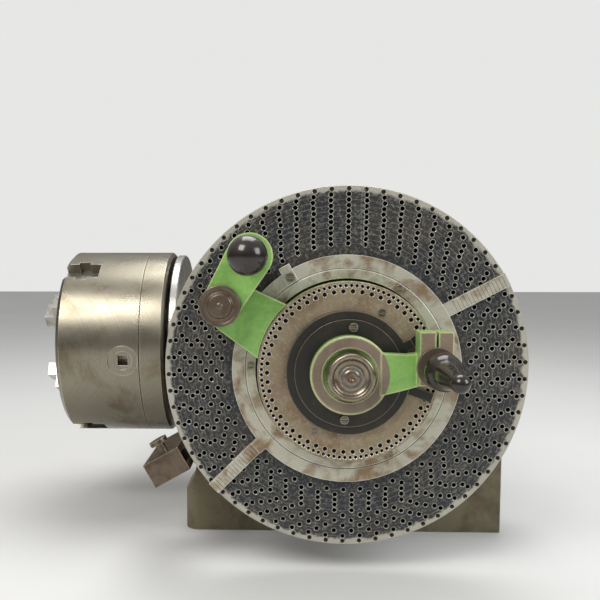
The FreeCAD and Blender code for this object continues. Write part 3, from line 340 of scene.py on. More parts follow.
@dataclass(frozen=True)
class DrilledFinish:
    """The face of an index plate: ring marks, scribed hole circles and a rubbed rim."""

    name: str
    colour: Colour
    stain: Colour
    bright: Colour
    circles: tuple[float, ...]
    rim: float
    metal: float = 0.35
    rough: float = 0.42
    scribe: float = 0.00016
    counts: tuple[int, ...] = ()
    starts: tuple[float, ...] = ()
    sinks: tuple[float, ...] = ()

    def halo(self, graph: Graph, where: bpy.types.NodeSocket,
             radius: bpy.types.NodeSocket) -> bpy.types.NodeSocket:
        """A rubbed ring round each hole.

        On a circle of N holes the nearest hole is off by f/N of a turn, where f is the
        part of N times the azimuth that is left past a whole number.  That arc and the
        gap to the circle make the distance to the hole's centre.
        """
        turn = graph.math("DIVIDE", graph.math("ARCTAN2", graph.along(where, "Z"),
                                               graph.along(where, "X")), 2 * math.pi)
        best = None
        for circle, count, start, sink in zip(self.circles, self.counts, self.starts,
                                              self.sinks):
            steps = graph.math("MULTIPLY", graph.math("SUBTRACT", turn, start / 360), count)
            off = graph.math("SUBTRACT", steps, graph.math("ROUND", steps))
            arc = graph.math("MULTIPLY", off, 2 * math.pi * circle / count)
            gap = graph.math("SUBTRACT", radius, circle)
            far = graph.math("SQRT", graph.math("ADD", graph.math("MULTIPLY", arc, arc),
                                                graph.math("MULTIPLY", gap, gap)))
            ring = graph.ramp(far, sink / 2 + HALO_WIDTH, sink / 2 + HALO_CORE)
            best = ring if best is None else graph.math("MAXIMUM", best, ring)
        return best

    def build(self, centre: Vector) -> bpy.types.Material:
        """Make the material, with its rings about this centre."""
        graph = Graph(self.name)
        where = graph.place(centre)
        radius = graph.radius(where, Turning.CRANK)
        broad = graph.noise(where, 22.0, 5.0, 0.65, 0.5)
        colour = graph.mix(graph.ramp(broad, 0.45, 0.66), self.colour, self.stain)
        rings = graph.lines(radius, 2600.0, 4.0)
        colour = graph.mix(graph.math("MULTIPLY", graph.ramp(rings, 0.45, 0.8), GRAIN_SHARE),
                           colour, tuple(GRAIN_DARK * c for c in self.colour))
        mottle = graph.noise(where, 420.0, 4.0, 0.7)
        colour = graph.mix(graph.math("MULTIPLY", graph.ramp(mottle, 0.5, 0.72), GRAIN_SHARE),
                           colour, self.bright)
        near = None
        for circle in self.circles:
            gap = graph.math("ABSOLUTE", graph.math("SUBTRACT", radius, circle))
            line = graph.ramp(gap, self.scribe * 1.6, self.scribe * 0.6)
            near = line if near is None else graph.math("MAXIMUM", near, line)
        worn_off = graph.ramp(graph.noise(where, 90.0, 4.0), 0.3, 0.62)
        share = graph.math("MULTIPLY", near, graph.math("MULTIPLY", worn_off, SCRIBE_SHARE))
        colour = graph.mix(share, colour, self.bright)
        wander = graph.math("MULTIPLY", graph.math(
            "SUBTRACT", graph.noise(where, 140.0, 4.0), 0.5), RIM_RAGGED)
        rim = graph.ramp(graph.math("ADD", radius, wander), self.rim, self.rim + RIM_BORDER)
        colour = graph.mix(graph.math("MULTIPLY", rim, RIM_SHARE), colour, self.bright)
        halo = self.halo(graph, where, radius)
        worn = graph.ramp(graph.noise(where, 500.0, 3.0), 0.25, 0.6)
        colour = graph.mix(graph.math("MULTIPLY", halo, worn), colour, self.bright)
        graph.feed(graph.shader.inputs["Base Color"], colour)
        graph.feed(graph.shader.inputs["Metallic"], self.metal)
        graph.rough(mottle, self.rough - ROUGH_SPREAD, self.rough + 0.15)
        graph.bump(graph.math("ADD", rings, mottle), 0.12, 0.0003)
        return graph.material


LARGE_CIRCLES = (104.87, 109.44, 113.99, 118.26, 123.12, 127.46, 131.93, 136.35, 140.99,
                 145.56, 150.0)
LARGE_COUNTS = (46, 47, 49, 51, 53, 54, 57, 58, 59, 62, 66)
CIRCLES = len(LARGE_CIRCLES)
ROW_ANGLE = 89.47  # the row that all the large circles start from
SMALL_CIRCLES, SMALL_COUNTS, SMALL_STARTS = (65.95, 70.6), (54, 100), (7.2, 88.34)

BASE_IRON = Finish("worn_base_iron", paint(124, 116, 92), paint(92, 80, 58), paint(168, 162, 142),
                   metal=0.25, rough=0.55, patch=16, stained=0.5, wear=0.45, grain=0.5,
                   grain_scale=500)
BLOCK_IRON = Finish("block_iron", paint(150, 152, 140), paint(120, 104, 82), paint(190, 188, 172),
                    metal=0.45, rough=0.45, patch=18, stained=0.45, wear=0.45, grain=0.3)
CHUCK_STEEL = Finish("chuck_steel", paint(148, 142, 126), paint(108, 90, 66), paint(205, 202, 190),
                     metal=0.92, rough=0.3, patch=14, stained=0.5, wear=0.5,
                     turning=Turning.SPINDLE, marks=0.45, mark_scale=900)
BRIGHT_STEEL = Finish("bright_steel", paint(186, 184, 176), paint(150, 134, 110),
                      paint(222, 220, 214), metal=0.9, rough=0.3, patch=30, stained=0.3,
                      wear=0.4, grain=0.08)
SECTOR_STEEL = Finish("sector_steel", paint(196, 192, 176), paint(138, 112, 82),
                      paint(232, 230, 220), metal=0.5, rough=0.4, patch=42, stained=0.52,
                      wear=0.55, grain=0.12)
BUSH_BRONZE = Finish("bush_bronze", paint(176, 140, 88), paint(128, 96, 58), paint(214, 186, 128),
                     metal=0.9, rough=0.35, wear=0.4)
GREEN_PAINT = Finish("green_paint", paint(134, 182, 92), paint(104, 150, 70), paint(212, 212, 160),
                     metal=0.0, rough=0.36, patch=26, stained=0.45, wear=0.78, reach=0.0022,
                     grain=0.25, grain_scale=350, round_edges=0.0012, coat=0.25)
NUT_STEEL = Finish("nut_steel", paint(150, 138, 120), paint(112, 92, 74), paint(214, 204, 184),
                   metal=0.85, rough=0.28, patch=70, stained=0.4, wear=0.55, grain=0.08,
                   turning=Turning.CRANK, marks=0.3, mark_scale=1400)
SMALL_CRANK = replace(GREEN_PAINT, name="small_crank_paint", machined=paint(132, 116, 98),
                      bare_in_front_of=(-0.2615, -0.2745), bare_radius=0.0312)
BLACK_STEEL = Finish("black_steel", paint(52, 50, 46), paint(66, 58, 48), paint(150, 144, 126),
                     metal=0.5, rough=0.34, patch=40, stained=0.45, wear=0.45, grain=0.15,
                     turning=Turning.CRANK, marks=0.3)
BROWN_STEEL = Finish("brown_steel", paint(112, 98, 84), paint(86, 68, 54), paint(176, 166, 146),
                     metal=0.7, rough=0.34, patch=55, stained=0.5, wear=0.5,
                     turning=Turning.CRANK, marks=0.4, mark_scale=1100)
SCREW_STEEL = Finish("screw_steel", paint(120, 112, 96), paint(90, 76, 58), paint(190, 184, 166),
                     metal=0.8, rough=0.36, patch=80, wear=0.55, grain=0.1)
SPRING_STEEL = Finish("spring_steel", paint(120, 120, 118), paint(90, 84, 76),
                      paint(180, 178, 170), metal=0.9, rough=0.3, wear=0.4)
GEAR_STEEL = Finish("gear_steel", paint(132, 130, 124), paint(104, 92, 76), paint(196, 192, 182),
                    metal=0.85, rough=0.36, wear=0.5)
BALL_BLACK = Finish("ball_black", paint(48, 44, 40), paint(62, 52, 46), paint(90, 80, 70),
                    metal=0.55, rough=0.24, patch=60, stained=0.35, wear=0.1, grain=0.03,
                    coat=0.6)
PLATE_FACE = DrilledFinish("plate_face", paint(46, 48, 52), paint(66, 62, 56),
                           paint(186, 182, 168), tuple(c * MM for c in LARGE_CIRCLES), 0.1472,
                           counts=LARGE_COUNTS, starts=(ROW_ANGLE,) * CIRCLES,
                           sinks=(0.00416,) * CIRCLES)
SMALL_FACE = DrilledFinish("small_plate_face", paint(148, 134, 110), paint(120, 98, 74),
                           paint(206, 192, 164), (0.0706, 0.06595), 0.0733, metal=0.45,
                           rough=0.4, counts=(100, 54), starts=(88.34, 7.2),
                           sinks=(0.0034, 0.0041))
SINK_STEEL = Finish("sink_steel", paint(205, 205, 202), paint(170, 164, 150), paint(235, 235, 232),
                    metal=0.85, rough=0.3, wear=0.4, grain=0.05)
# Near-black: painted shade on the walls and floors of the drilled holes, and also the real dark of
# the sector arms' cut lines.
HOLE_SHADE_AND_LINE_BLACK = Finish("hole_shade_and_line_black", paint(26, 25, 24), paint(40, 34, 28), paint(60, 56, 50),
                   metal=0.3, rough=0.6, wear=0.1, grain=0.05)

CAD_FINISHES: dict[str, Finish] = {finish.name: finish for finish in (
    BLOCK_IRON, CHUCK_STEEL, BRIGHT_STEEL, SECTOR_STEEL, BUSH_BRONZE, GREEN_PAINT, BLACK_STEEL,
    BROWN_STEEL, SCREW_STEEL, SPRING_STEEL, BALL_BLACK, GEAR_STEEL)}
CAD_FINISHES |= {"base_iron": BASE_IRON, "plate_steel": BRIGHT_STEEL, "bronze_plate": BUSH_BRONZE}


# Mesh making

WELD_REACH, THIN_EDGE = 1e-7, 1e-8
RIM_POINTS, BORE_POINTS = 360, 120
RIM_GROUP = 10 ** 6  # a number that no hole has
FLOOR_GAP = 0.1  # metal left between front and rear holes
DECAL_LIFT = 0.00003  # how far figures and cut lines stand off


@dataclass
class Surface:
    """Points and faces gathered as whole arrays, with a material number for each face."""

    points: list[np.ndarray] = field(default_factory=list)
    quads: list[np.ndarray] = field(default_factory=list)
    triangles: list[np.ndarray] = field(default_factory=list)
    quad_paint: list[np.ndarray] = field(default_factory=list)
    triangle_paint: list[np.ndarray] = field(default_factory=list)
    count: int = 0

    def add(self, points: np.ndarray, quads: np.ndarray | None = None,
            triangles: np.ndarray | None = None, paint_number: int | np.ndarray = 0) -> None:
        """Add points and the faces that use them.

        Args:
            points: rows of x, y and z.
            quads: rows of four point numbers, counted within these points.
            triangles: rows of three point numbers, counted the same way.
            paint_number: the material number of the faces.
        """
        for faces, store, colours in ((quads, self.quads, self.quad_paint),
                                      (triangles, self.triangles, self.triangle_paint)):
            if faces is not None and len(faces):
                store.append(faces.reshape(len(faces), -1) + self.count)
                colours.append(np.broadcast_to(paint_number, len(faces)))
        self.points.append(points)
        self.count += len(points)

    def finish(self, name: str, materials: list[bpy.types.Material], body: str, slot: Slot,
               hides: tuple[str, ...] = (), sharp: float = 30.0,
               weld: bool = True) -> bpy.types.Object:
        """Make the object, shade it, and set it on its body.

        Args:
            name: the piece's name.
            materials: the materials that the material numbers count.
            body: the CAD body that the piece rides on.
            slot: the record's material slot; not used.
            hides: CAD nodes that the piece stands for.
            sharp: edges that turn more than this many degrees stay sharp.
            weld: whether points at one place become one.

        Returns:
            The finished object.
        """
        mesh = bpy.data.meshes.new(name)
        points = np.concatenate(self.points)
        quads = np.concatenate(self.quads) if self.quads else np.zeros((0, 4), int)
        triangles = np.concatenate(self.triangles) if self.triangles else np.zeros((0, 3), int)
        loops = np.concatenate([quads.ravel(), triangles.ravel()])
        starts = np.concatenate([np.arange(len(quads)) * 4,
                                 len(quads) * 4 + np.arange(len(triangles)) * 3])
        mesh.vertices.add(len(points))
        mesh.vertices.foreach_set("co", points.astype(np.float32).ravel())
        mesh.loops.add(len(loops))
        mesh.loops.foreach_set("vertex_index", loops.astype(np.int32))
        mesh.polygons.add(len(starts))
        mesh.polygons.foreach_set("loop_start", starts.astype(np.int32))
        colours = np.concatenate(self.quad_paint + self.triangle_paint)
        mesh.polygons.foreach_set("material_index", colours.astype(np.int32))
        mesh.update(calc_edges=True)
        if weld:
            weld_points(mesh)
        mesh.shade_smooth()
        mesh.set_sharp_from_angle(angle=math.radians(sharp))
        piece = bpy.data.objects.new(name, mesh)
        bpy.context.scene.collection.objects.link(piece)
        for material in materials:
            mesh.materials.append(material)
        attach(piece, body)
        if hides:
            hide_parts(*hides)
        LOG.info("%s: %d faces on %s", name, len(mesh.polygons), body)
        return piece


def weld_points(mesh: bpy.types.Mesh) -> None:
    """Join points that share a place, which closes seams and poles."""
    work = bmesh.new()
    work.from_mesh(mesh)
    bmesh.ops.remove_doubles(work, verts=work.verts, dist=WELD_REACH)
    bmesh.ops.dissolve_degenerate(work, edges=work.edges, dist=THIN_EDGE)
    work.to_mesh(mesh)
    work.free()


def grid_quads(rows: int, columns: int, closed: bool = True) -> np.ndarray:
    """Quads of a grid of rows by columns, whose last column may join the first."""
    down, across = np.meshgrid(np.arange(rows - 1), np.arange(columns if closed else columns - 1),
                               indexing="ij")
    step = (across + 1) % columns
    return np.stack([down * columns + across, down * columns + step,
                     (down + 1) * columns + step, (down + 1) * columns + across],
                    axis=-1).reshape(-1, 4)


def turned(profile: np.ndarray, centre: Vector,
           segments: int = 96) -> tuple[np.ndarray, np.ndarray]:
    """A profile turned about an axis along Y.

    A point at radius r and depth y, turned by the angle t, is at
    (cx + r cos t, y, cz + r sin t).  The profile runs from the front of the part
    outwards and back, so that the faces point outwards.

    Args:
        profile: rows of radius and Y, in metres.
        centre: a point on the axis.
        segments: faces round the axis.

    Returns:
        The points and the quads.
    """
    angle = np.arange(segments) * 2 * np.pi / segments
    radius, depth = profile[:, 0][:, None], profile[:, 1][:, None]
    points = np.stack([centre.x + radius * np.cos(angle),
                       np.broadcast_to(depth, (len(profile), segments)),
                       centre.z + radius * np.sin(angle)], axis=-1).reshape(-1, 3)
    return points, grid_quads(len(profile), segments)


def ball_profile(radius: float, height: float, first: float, last: float,
                 count: int) -> np.ndarray:
    """Part of a ball's outline in millimetres.

    At the angle a it is at radius R cos a and height h - R sin a, where R is the ball's
    radius and h the height of its middle.

    Args:
        radius: the ball's radius.
        height: the height of its middle.
        first: the angle in degrees where the outline starts.
        last: the angle where it ends.
        count: points on it.

    Returns:
        Rows of radius and height.
    """
    angle = np.radians(np.linspace(first, last, count))
    return np.stack([radius * np.cos(angle), height - radius * np.sin(angle)], axis=1)


def smooth_profile(corners: np.ndarray, fillet: float = 0.4, steps: int = 4) -> np.ndarray:
    """Round the corners of a profile in millimetres.

    Each corner is swapped for a curve p = (1-t)^2 a + 2 t (1-t) c + t^2 b, where a and b
    are the points on its two sides at the fillet's distance from it.

    Args:
        corners: radius and Y of each corner.
        fillet: how far from a corner its curve starts.
        steps: points on each curve.

    Returns:
        Rows of radius and Y, in metres.
    """
    inner = corners[1:-1]
    before, after = corners[:-2] - inner, corners[2:] - inner
    reach_a = np.minimum(fillet, np.linalg.norm(before, axis=1) * 0.45)[:, None]
    reach_b = np.minimum(fillet, np.linalg.norm(after, axis=1) * 0.45)[:, None]
    a = inner + before / np.linalg.norm(before, axis=1)[:, None] * reach_a
    b = inner + after / np.linalg.norm(after, axis=1)[:, None] * reach_b
    t = np.linspace(0, 1, steps)[None, :, None]
    curves = (1 - t) ** 2 * a[:, None] + 2 * t * (1 - t) * inner[:, None] + t ** 2 * b[:, None]
    return np.concatenate([corners[:1], curves.reshape(-1, 2), corners[-1:]]) * MM


@dataclass
class DrilledPlate:
    """An index plate with every hole of every circle, countersunk and blind."""

    name: str
    node: str
    body: str
    slot: Slot
    circles: tuple[float, ...]
    counts: tuple[int, ...]
    starts: tuple[float, ...]
    holes: tuple[float, ...]
    sinks: tuple[float, ...]
    depths: tuple[float, ...]
    bore: float
    face: DrilledFinish
    rear_circle: int | None = None
    corners: int = 14
    sink_depth: float = 0.5
    chamfer: float = 0.7

    def hole_centres(self, only: int | None = None) -> np.ndarray:
        """Centres of the holes: N holes of a circle stand 360/N degrees apart from its start."""
        picked = range(len(self.circles)) if only is None else [only]
        counts = [self.counts[i] for i in picked]
        radius = np.repeat([self.circles[i] for i in picked], counts)
        turn = np.concatenate([np.arange(n) * 2 * np.pi / n for n in counts])
        start = np.radians(np.repeat([self.starts[i] for i in picked], counts))
        return np.stack([radius * np.cos(start + turn), radius * np.sin(start + turn)], axis=1)

    def circle_points(self, count: int) -> np.ndarray:
        """Points of a circle of radius one: (cos t, sin t)."""
        turn = np.linspace(0, 2 * np.pi, count, endpoint=False)
        return np.stack([np.cos(turn), np.sin(turn)], axis=1)

    def flat_face(self, outer: float, centres: np.ndarray,
                  sinks: np.ndarray) -> tuple[np.ndarray, np.ndarray]:
        """Triangles between the rim, the bore and the countersinks.

        The flat triangulation of all their points keeps each loop as edges, and the
        triangles whose three corners are on one hole are left out.

        Args:
            outer: radius of the face's outer edge.
            centres: centres of the holes.
            sinks: diameter of each countersink.

        Returns:
            The flat points and the triangles.
        """
        ring = self.circle_points(self.corners)
        holes = (centres[:, None] + sinks[:, None, None] / 2 * ring[None]).reshape(-1, 2)
        flat = np.concatenate([self.circle_points(RIM_POINTS) * outer,
                               self.circle_points(BORE_POINTS) * self.bore, holes])
        sizes = [RIM_POINTS, BORE_POINTS] + [self.corners] * len(centres)
        firsts = np.concatenate([[0], np.cumsum(sizes)[:-1]])
        edges = np.concatenate([
            np.stack([np.arange(n), (np.arange(n) + 1) % n], axis=1) + first
            for n, first in zip(sizes, firsts)])
        group = np.concatenate([np.arange(RIM_POINTS) + RIM_GROUP, np.zeros(BORE_POINTS, int),
                                np.repeat(np.arange(len(centres)) + 1, self.corners)])
        points, _, faces, _, _, _ = delaunay_2d_cdt(
            [Vector(p) for p in flat.tolist()], edges.tolist(), [], 0, 1e-4, False)
        if len(points) != len(flat):
            raise ValueError(f"{self.name}: the holes run into each other")
        triangles = np.array(faces)
        first, second, third = (group[triangles[:, k]] for k in range(3))
        return flat, triangles[~((first == second) & (first == third))]

    def wells(self, surface: Surface, place: Placer, centres: np.ndarray,
              widths: tuple[np.ndarray, ...], levels: tuple[np.ndarray, ...],
              flip: bool) -> None:
        """Countersinks, walls and floors of the holes, as rings of quads.

        Args:
            surface: what the faces are added to.
            place: turns flat points and a depth into places.
            centres: centres of the holes.
            widths: diameters at the mouth, the wall's start and the floor.
            levels: depths of the same three rings.
            flip: whether the holes open towards the back.
        """
        ring = self.circle_points(self.corners)
        total = len(centres) * self.corners
        one = np.stack([np.arange(self.corners), (np.arange(self.corners) + 1) % self.corners],
                       axis=1)
        pair = ((np.arange(len(centres)) * self.corners)[:, None, None] + one[None]).reshape(-1, 2)
        quads = np.stack([pair[:, 0], pair[:, 1], pair[:, 1] + total, pair[:, 0] + total], axis=1)
        rings = [place((centres[:, None] + width[:, None, None] / 2 * ring[None]).reshape(-1, 2),
                       np.repeat(level, self.corners)) for width, level in zip(widths, levels)]
        # Material 1 is the countersinks' bare steel; material 2, on the walls and floors, is
        # near-black painted shade inside the holes.
        for number, colour in ((0, 1), (1, 2)):
            faces = quads[:, ::-1] if flip else quads
            surface.add(np.concatenate([rings[number], rings[number + 1]]), quads=faces,
                        paint_number=colour)
        steps = np.arange(1, self.corners - 1)
        fan = np.stack([np.zeros_like(steps), steps, steps + 1], axis=1)
        fans = ((np.arange(len(centres)) * self.corners)[:, None, None] + fan[None]).reshape(-1, 3)
        surface.add(rings[2], triangles=fans[:, ::-1] if flip else fans, paint_number=2)

    def build(self) -> bpy.types.Object:
        """Make both faces, the holes, the rim and the bore."""
        low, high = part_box(self.node)
        centre = middle(self.node)
        outer = (high.x - low.x) / 2 / MM
        front, back = low.y / MM, high.y / MM

        def place(flat: np.ndarray, depth: float | np.ndarray) -> np.ndarray:
            """Flat x and up become x and z about the crank axis, and depth becomes y."""
            depths = np.broadcast_to(depth, len(flat))
            return np.stack([centre.x + flat[:, 0] * MM, depths * MM,
                             centre.z + flat[:, 1] * MM], axis=1)

        surface = Surface()
        centres = self.hole_centres()
        holes, sinks, deep = (np.repeat(v, self.counts) for v in
                              (self.holes, self.sinks, self.depths))
        flat, triangles = self.flat_face(outer - self.chamfer, centres, sinks)
        surface.add(place(flat, front), triangles=triangles)
        self.wells(surface, place, centres, (sinks, holes, holes),
                   (np.full(len(centres), front), np.full(len(centres), front + self.sink_depth),
                    front + deep), False)
        rear = np.zeros((0, 2)) if self.rear_circle is None else \
            self.hole_centres(self.rear_circle)
        kind = self.rear_circle or 0
        wide, narrow = (np.full(len(rear), v[kind]) for v in (self.sinks, self.holes))
        flat, triangles = self.flat_face(outer - self.chamfer, rear, wide)
        surface.add(place(flat, back), triangles=triangles[:, ::-1])
        if len(rear):
            floor = np.full(len(rear), front + self.depths[kind] + FLOOR_GAP)
            self.wells(surface, place, rear, (wide, narrow, narrow),
                       (np.full(len(rear), back), np.full(len(rear), back - self.sink_depth),
                        floor), True)
        rim, hub = self.circle_points(RIM_POINTS), self.circle_points(BORE_POINTS)
        sides = [(outer - self.chamfer, front), (outer, front + self.chamfer),
                 (outer, back - self.chamfer), (outer - self.chamfer, back)]
        surface.add(np.concatenate([place(rim * r, y) for r, y in sides]),
                    quads=grid_quads(4, RIM_POINTS)[:, ::-1])
        surface.add(np.concatenate([place(hub * self.bore, y) for y in (front, back)]),
                    quads=grid_quads(2, BORE_POINTS))
        # The third material is near-black painted shade for the holes' walls and floors.
        materials = [self.face.build(centre), SINK_STEEL.build(), HOLE_SHADE_AND_LINE_BLACK.build()]
        return surface.finish(self.name, materials, self.body, self.slot, (self.node,))


# Turned pieces

@dataclass
class TurnedPiece:
    """A piece turned about an axis along Y, drawn as radius and height above a CAD face."""

    name: str
    node: str
    body: str
    slot: Slot
    finish: Finish
    profile: np.ndarray
    fillet: float = 0.5
    segments: int = 96

    def build(self) -> bpy.types.Object:
        """Turn the profile about the middle of the CAD node that it stands for."""
        centre = middle(self.node)
        _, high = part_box(self.node)
        corners = self.profile * (1, -1) + (0, high.y / MM)
        points, quads = turned(smooth_profile(corners, self.fillet), centre, self.segments)
        surface = Surface()
        surface.add(points, quads=quads[:, ::-1])
        return surface.finish(self.name, [self.finish.build(centre)], self.body, self.slot,
                              (self.node,))


# Light, floor and camera

@dataclass
class Studio:
    """A pale floor, soft lamps and the camera."""

    lens: float = 45.0
    where: tuple[float, float, float] = (-0.0536, -0.8494, 0.2669)
    right: tuple[float, float, float] = (0.999555, 0.029816, 0.0)
    ahead: tuple[float, float, float] = (-0.0297, 0.99575, -0.08719)
    shift: tuple[float, float] = (0.0667, 0.0467)

    def camera(self) -> None:
        """Set up the camera from its direction, its right side and its lens."""
        data = bpy.data.cameras.new("camera")
        data.lens, data.sensor_width = self.lens, 36.0
        data.shift_x, data.shift_y = self.shift
        data.clip_start, data.clip_end = 0.01, 50.0
        holder = bpy.data.objects.new("camera", data)
        right, ahead = Vector(self.right).normalized(), Vector(self.ahead).normalized()
        up = right.cross(ahead)
        turn = Matrix((right, up, -ahead)).transposed().to_4x4()
        holder.matrix_world = Matrix.Translation(Vector(self.where)) @ turn
        bpy.context.scene.collection.objects.link(holder)
        bpy.context.scene.camera = holder

    def lamp(self, name: str, place: tuple[float, float, float],
             target: tuple[float, float, float], size: float, power: float,
             colour: Colour = (1.0, 1.0, 1.0)) -> None:
        """Add one soft square lamp that faces a target."""
        data = bpy.data.lights.new(name, "AREA")
        data.size, data.energy, data.color = size, power, colour
        holder = bpy.data.objects.new(name, data)
        holder.location = place
        aim = Vector(target) - Vector(place)
        holder.rotation_euler = aim.to_track_quat("-Z", "Y").to_euler()
        bpy.context.scene.collection.objects.link(holder)

    def floor(self) -> None:
        """A plain pale floor under the base."""
        mesh = bpy.data.meshes.new("floor")
        corners = np.array([[-4, -4, 0], [4, -4, 0], [4, 6, 0], [-4, 6, 0]], float)
        mesh.from_pydata(corners.tolist(), [], [(0, 1, 2, 3)])
        plane = bpy.data.objects.new("floor", mesh)
        bpy.context.scene.collection.objects.link(plane)
        graph = Graph("floor")
        where = graph.place()
        cloud = graph.noise(where, 3.0, 3.0)
        tone = graph.mix(cloud, (0.60, 0.60, 0.59), (0.66, 0.66, 0.65))
        graph.feed(graph.shader.inputs["Base Color"], tone)
        graph.shader.inputs["Roughness"].default_value = 0.8
        mesh.materials.append(graph.material)

    def world(self) -> None:
        """Soft light from all round, which the camera sees as a pale wall."""
        world = bpy.data.worlds.new("studio")
        bpy.context.scene.world = world
        world.use_nodes = True
        tree = world.node_tree
        tree.nodes.clear()
        new, join = tree.nodes.new, tree.links.new
        output = new("ShaderNodeOutputWorld")
        light = new("ShaderNodeBackground")
        light.inputs["Strength"].default_value = 0.62
        split = new("ShaderNodeSeparateXYZ")
        join(new("ShaderNodeTexCoord").outputs["Generated"], split.inputs[0])
        fade = new("ShaderNodeValToRGB")
        fade.color_ramp.elements[0].position, fade.color_ramp.elements[1].position = 0.0, 0.8
        fade.color_ramp.elements[0].color = (0.16, 0.155, 0.15, 1.0)
        fade.color_ramp.elements[1].color = (1.0, 1.0, 1.0, 1.0)
        join(split.outputs["Z"], fade.inputs[0])
        join(fade.outputs[0], light.inputs["Color"])
        seen = new("ShaderNodeBackground")
        seen.inputs["Color"].default_value = (0.80, 0.80, 0.79, 1.0)
        seen.inputs["Strength"].default_value = 1.0
        mix = new("ShaderNodeMixShader")
        path = new("ShaderNodeLightPath")
        join(path.outputs["Is Camera Ray"], mix.inputs[0])
        join(light.outputs[0], mix.inputs[1])
        join(seen.outputs[0], mix.inputs[2])
        join(mix.outputs[0], output.inputs["Surface"])

    def build(self) -> None:
        """Set up everything that isn't the object."""
        self.camera()
        self.floor()
        self.world()
        aim = (-0.05, -0.1, 0.15)
        self.lamp("key", (-0.9, -1.3, 1.5), aim, 0.9, 22.0, (1.0, 0.98, 0.95))
        self.lamp("side", (1.3, -0.9, 0.9), aim, 0.8, 12.0, (0.95, 0.98, 1.0))
        self.lamp("top", (0.0, 0.3, 1.6), aim, 1.0, 14.0)
        bpy.context.scene.view_settings.view_transform = "Standard"


# The object

@dataclass
class IndexPlates:
    """The large plate with eleven circles of holes, and the small one with two."""

    large_bore: float = 40.0
    small_bore: float = 24.0

    def build(self) -> None:
        """Drill both plates; the outermost large circle is also drilled from behind."""
        DrilledPlate("index_plate_face", node="large_index_plate", body="index_plate",
                     slot=Slot.PLATE, circles=LARGE_CIRCLES, counts=LARGE_COUNTS,
                     starts=(ROW_ANGLE,) * CIRCLES, holes=(3.6,) * CIRCLES,
                     sinks=(4.16,) * CIRCLES, depths=(7.4,) * (CIRCLES - 1) + (1.3,),
                     bore=self.large_bore, face=PLATE_FACE, rear_circle=CIRCLES - 1).build()
        DrilledPlate("small_plate_drilled", node="small_index_plate", body="large_crank",
                     slot=Slot.BRONZE, circles=SMALL_CIRCLES, counts=SMALL_COUNTS,
                     starts=SMALL_STARTS, holes=(3.5, 2.7), sinks=(4.1, 3.4),
                     depths=(2.85, 2.85), bore=self.small_bore, face=SMALL_FACE,
                     sink_depth=0.3, chamfer=0.5).build()


@dataclass
class Handles:
    """The black handles of the two index pins."""

    bead: float = 6.8
    grip: float = 52.0

    def ball(self) -> None:
        """The large pin's handle: a plain ball on a short neck."""
        low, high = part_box("index_knob")
        radius, reach = (high.x - low.x) / 2 / MM, (high.y - low.y) / MM
        neck = np.array([(6.5, 2.0), (6.2, 0.0), (3.1, 0.0)])
        profile = np.concatenate([ball_profile(radius, reach - radius, -90, 64, 40), neck])
        TurnedPiece("index_ball", "index_knob", "index_plunger", Slot.BALL, BALL_BLACK,
                    profile, 0.1).build()

    def slim_grip(self) -> None:
        """The small pin's handle: a ball with a slim grip that ends in a bead."""
        low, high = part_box("small_knob")
        radius, reach = (high.x - low.x) / 2 / MM, (high.y - low.y) / MM
        ball_at = reach - self.bead - self.grip
        waist = np.array([(6.4, ball_at + 44.0), (7.6, ball_at + 36.0), (9.6, ball_at + 24.0)])
        neck = np.array([(6.0, 2.0), (5.8, 0.0), (3.1, 0.0)])
        profile = np.concatenate([ball_profile(self.bead, reach - self.bead, -90, 38, 16), waist,
                                  ball_profile(radius, ball_at, -46, 64, 28), neck])
        TurnedPiece("small_handle", "small_knob", "small_plunger", Slot.BALL, BALL_BLACK,
                    profile, 2.5).build()

    def build(self) -> None:
        """Turn both handles."""
        self.ball()
        self.slim_grip()


@dataclass
class CrankCaps:
    """The turned cap of the link's pivot and the nut in the hub's middle."""

    pivot: tuple[tuple[float, float], ...] = (
        (0.0, 34.2), (1.6, 34.9), (2.6, 34.0), (8.6, 34.0), (9.6, 33.2), (10.2, 31.8),
        (13.4, 31.3), (14.6, 31.9), (16.0, 31.9), (16.4, 31.0), (16.4, 26.3), (6.0, 26.0),
        (6.0, 0.0), (0.0, 0.0))
    nut: tuple[tuple[float, float], ...] = (
        (0.0, 15.0), (1.0, 15.2), (1.6, 16.0), (3.2, 16.6), (5.4, 16.4), (8.6, 14.0),
        (11.0, 13.4), (13.6, 14.6), (15.2, 16.8), (17.6, 17.0), (18.9, 15.8), (18.9, 0.0),
        (9.1, 0.0))

    def build(self) -> None:
        """Turn both pieces."""
        TurnedPiece("pivot_button", "pivot_cap", "large_crank", Slot.BROWN, BROWN_STEEL,
                    np.array(self.pivot), 0.5).build()
        TurnedPiece("hub_button", "hub_nut", "small_crank", Slot.BRIGHT, NUT_STEEL,
                    np.array(self.nut), 0.8).build()


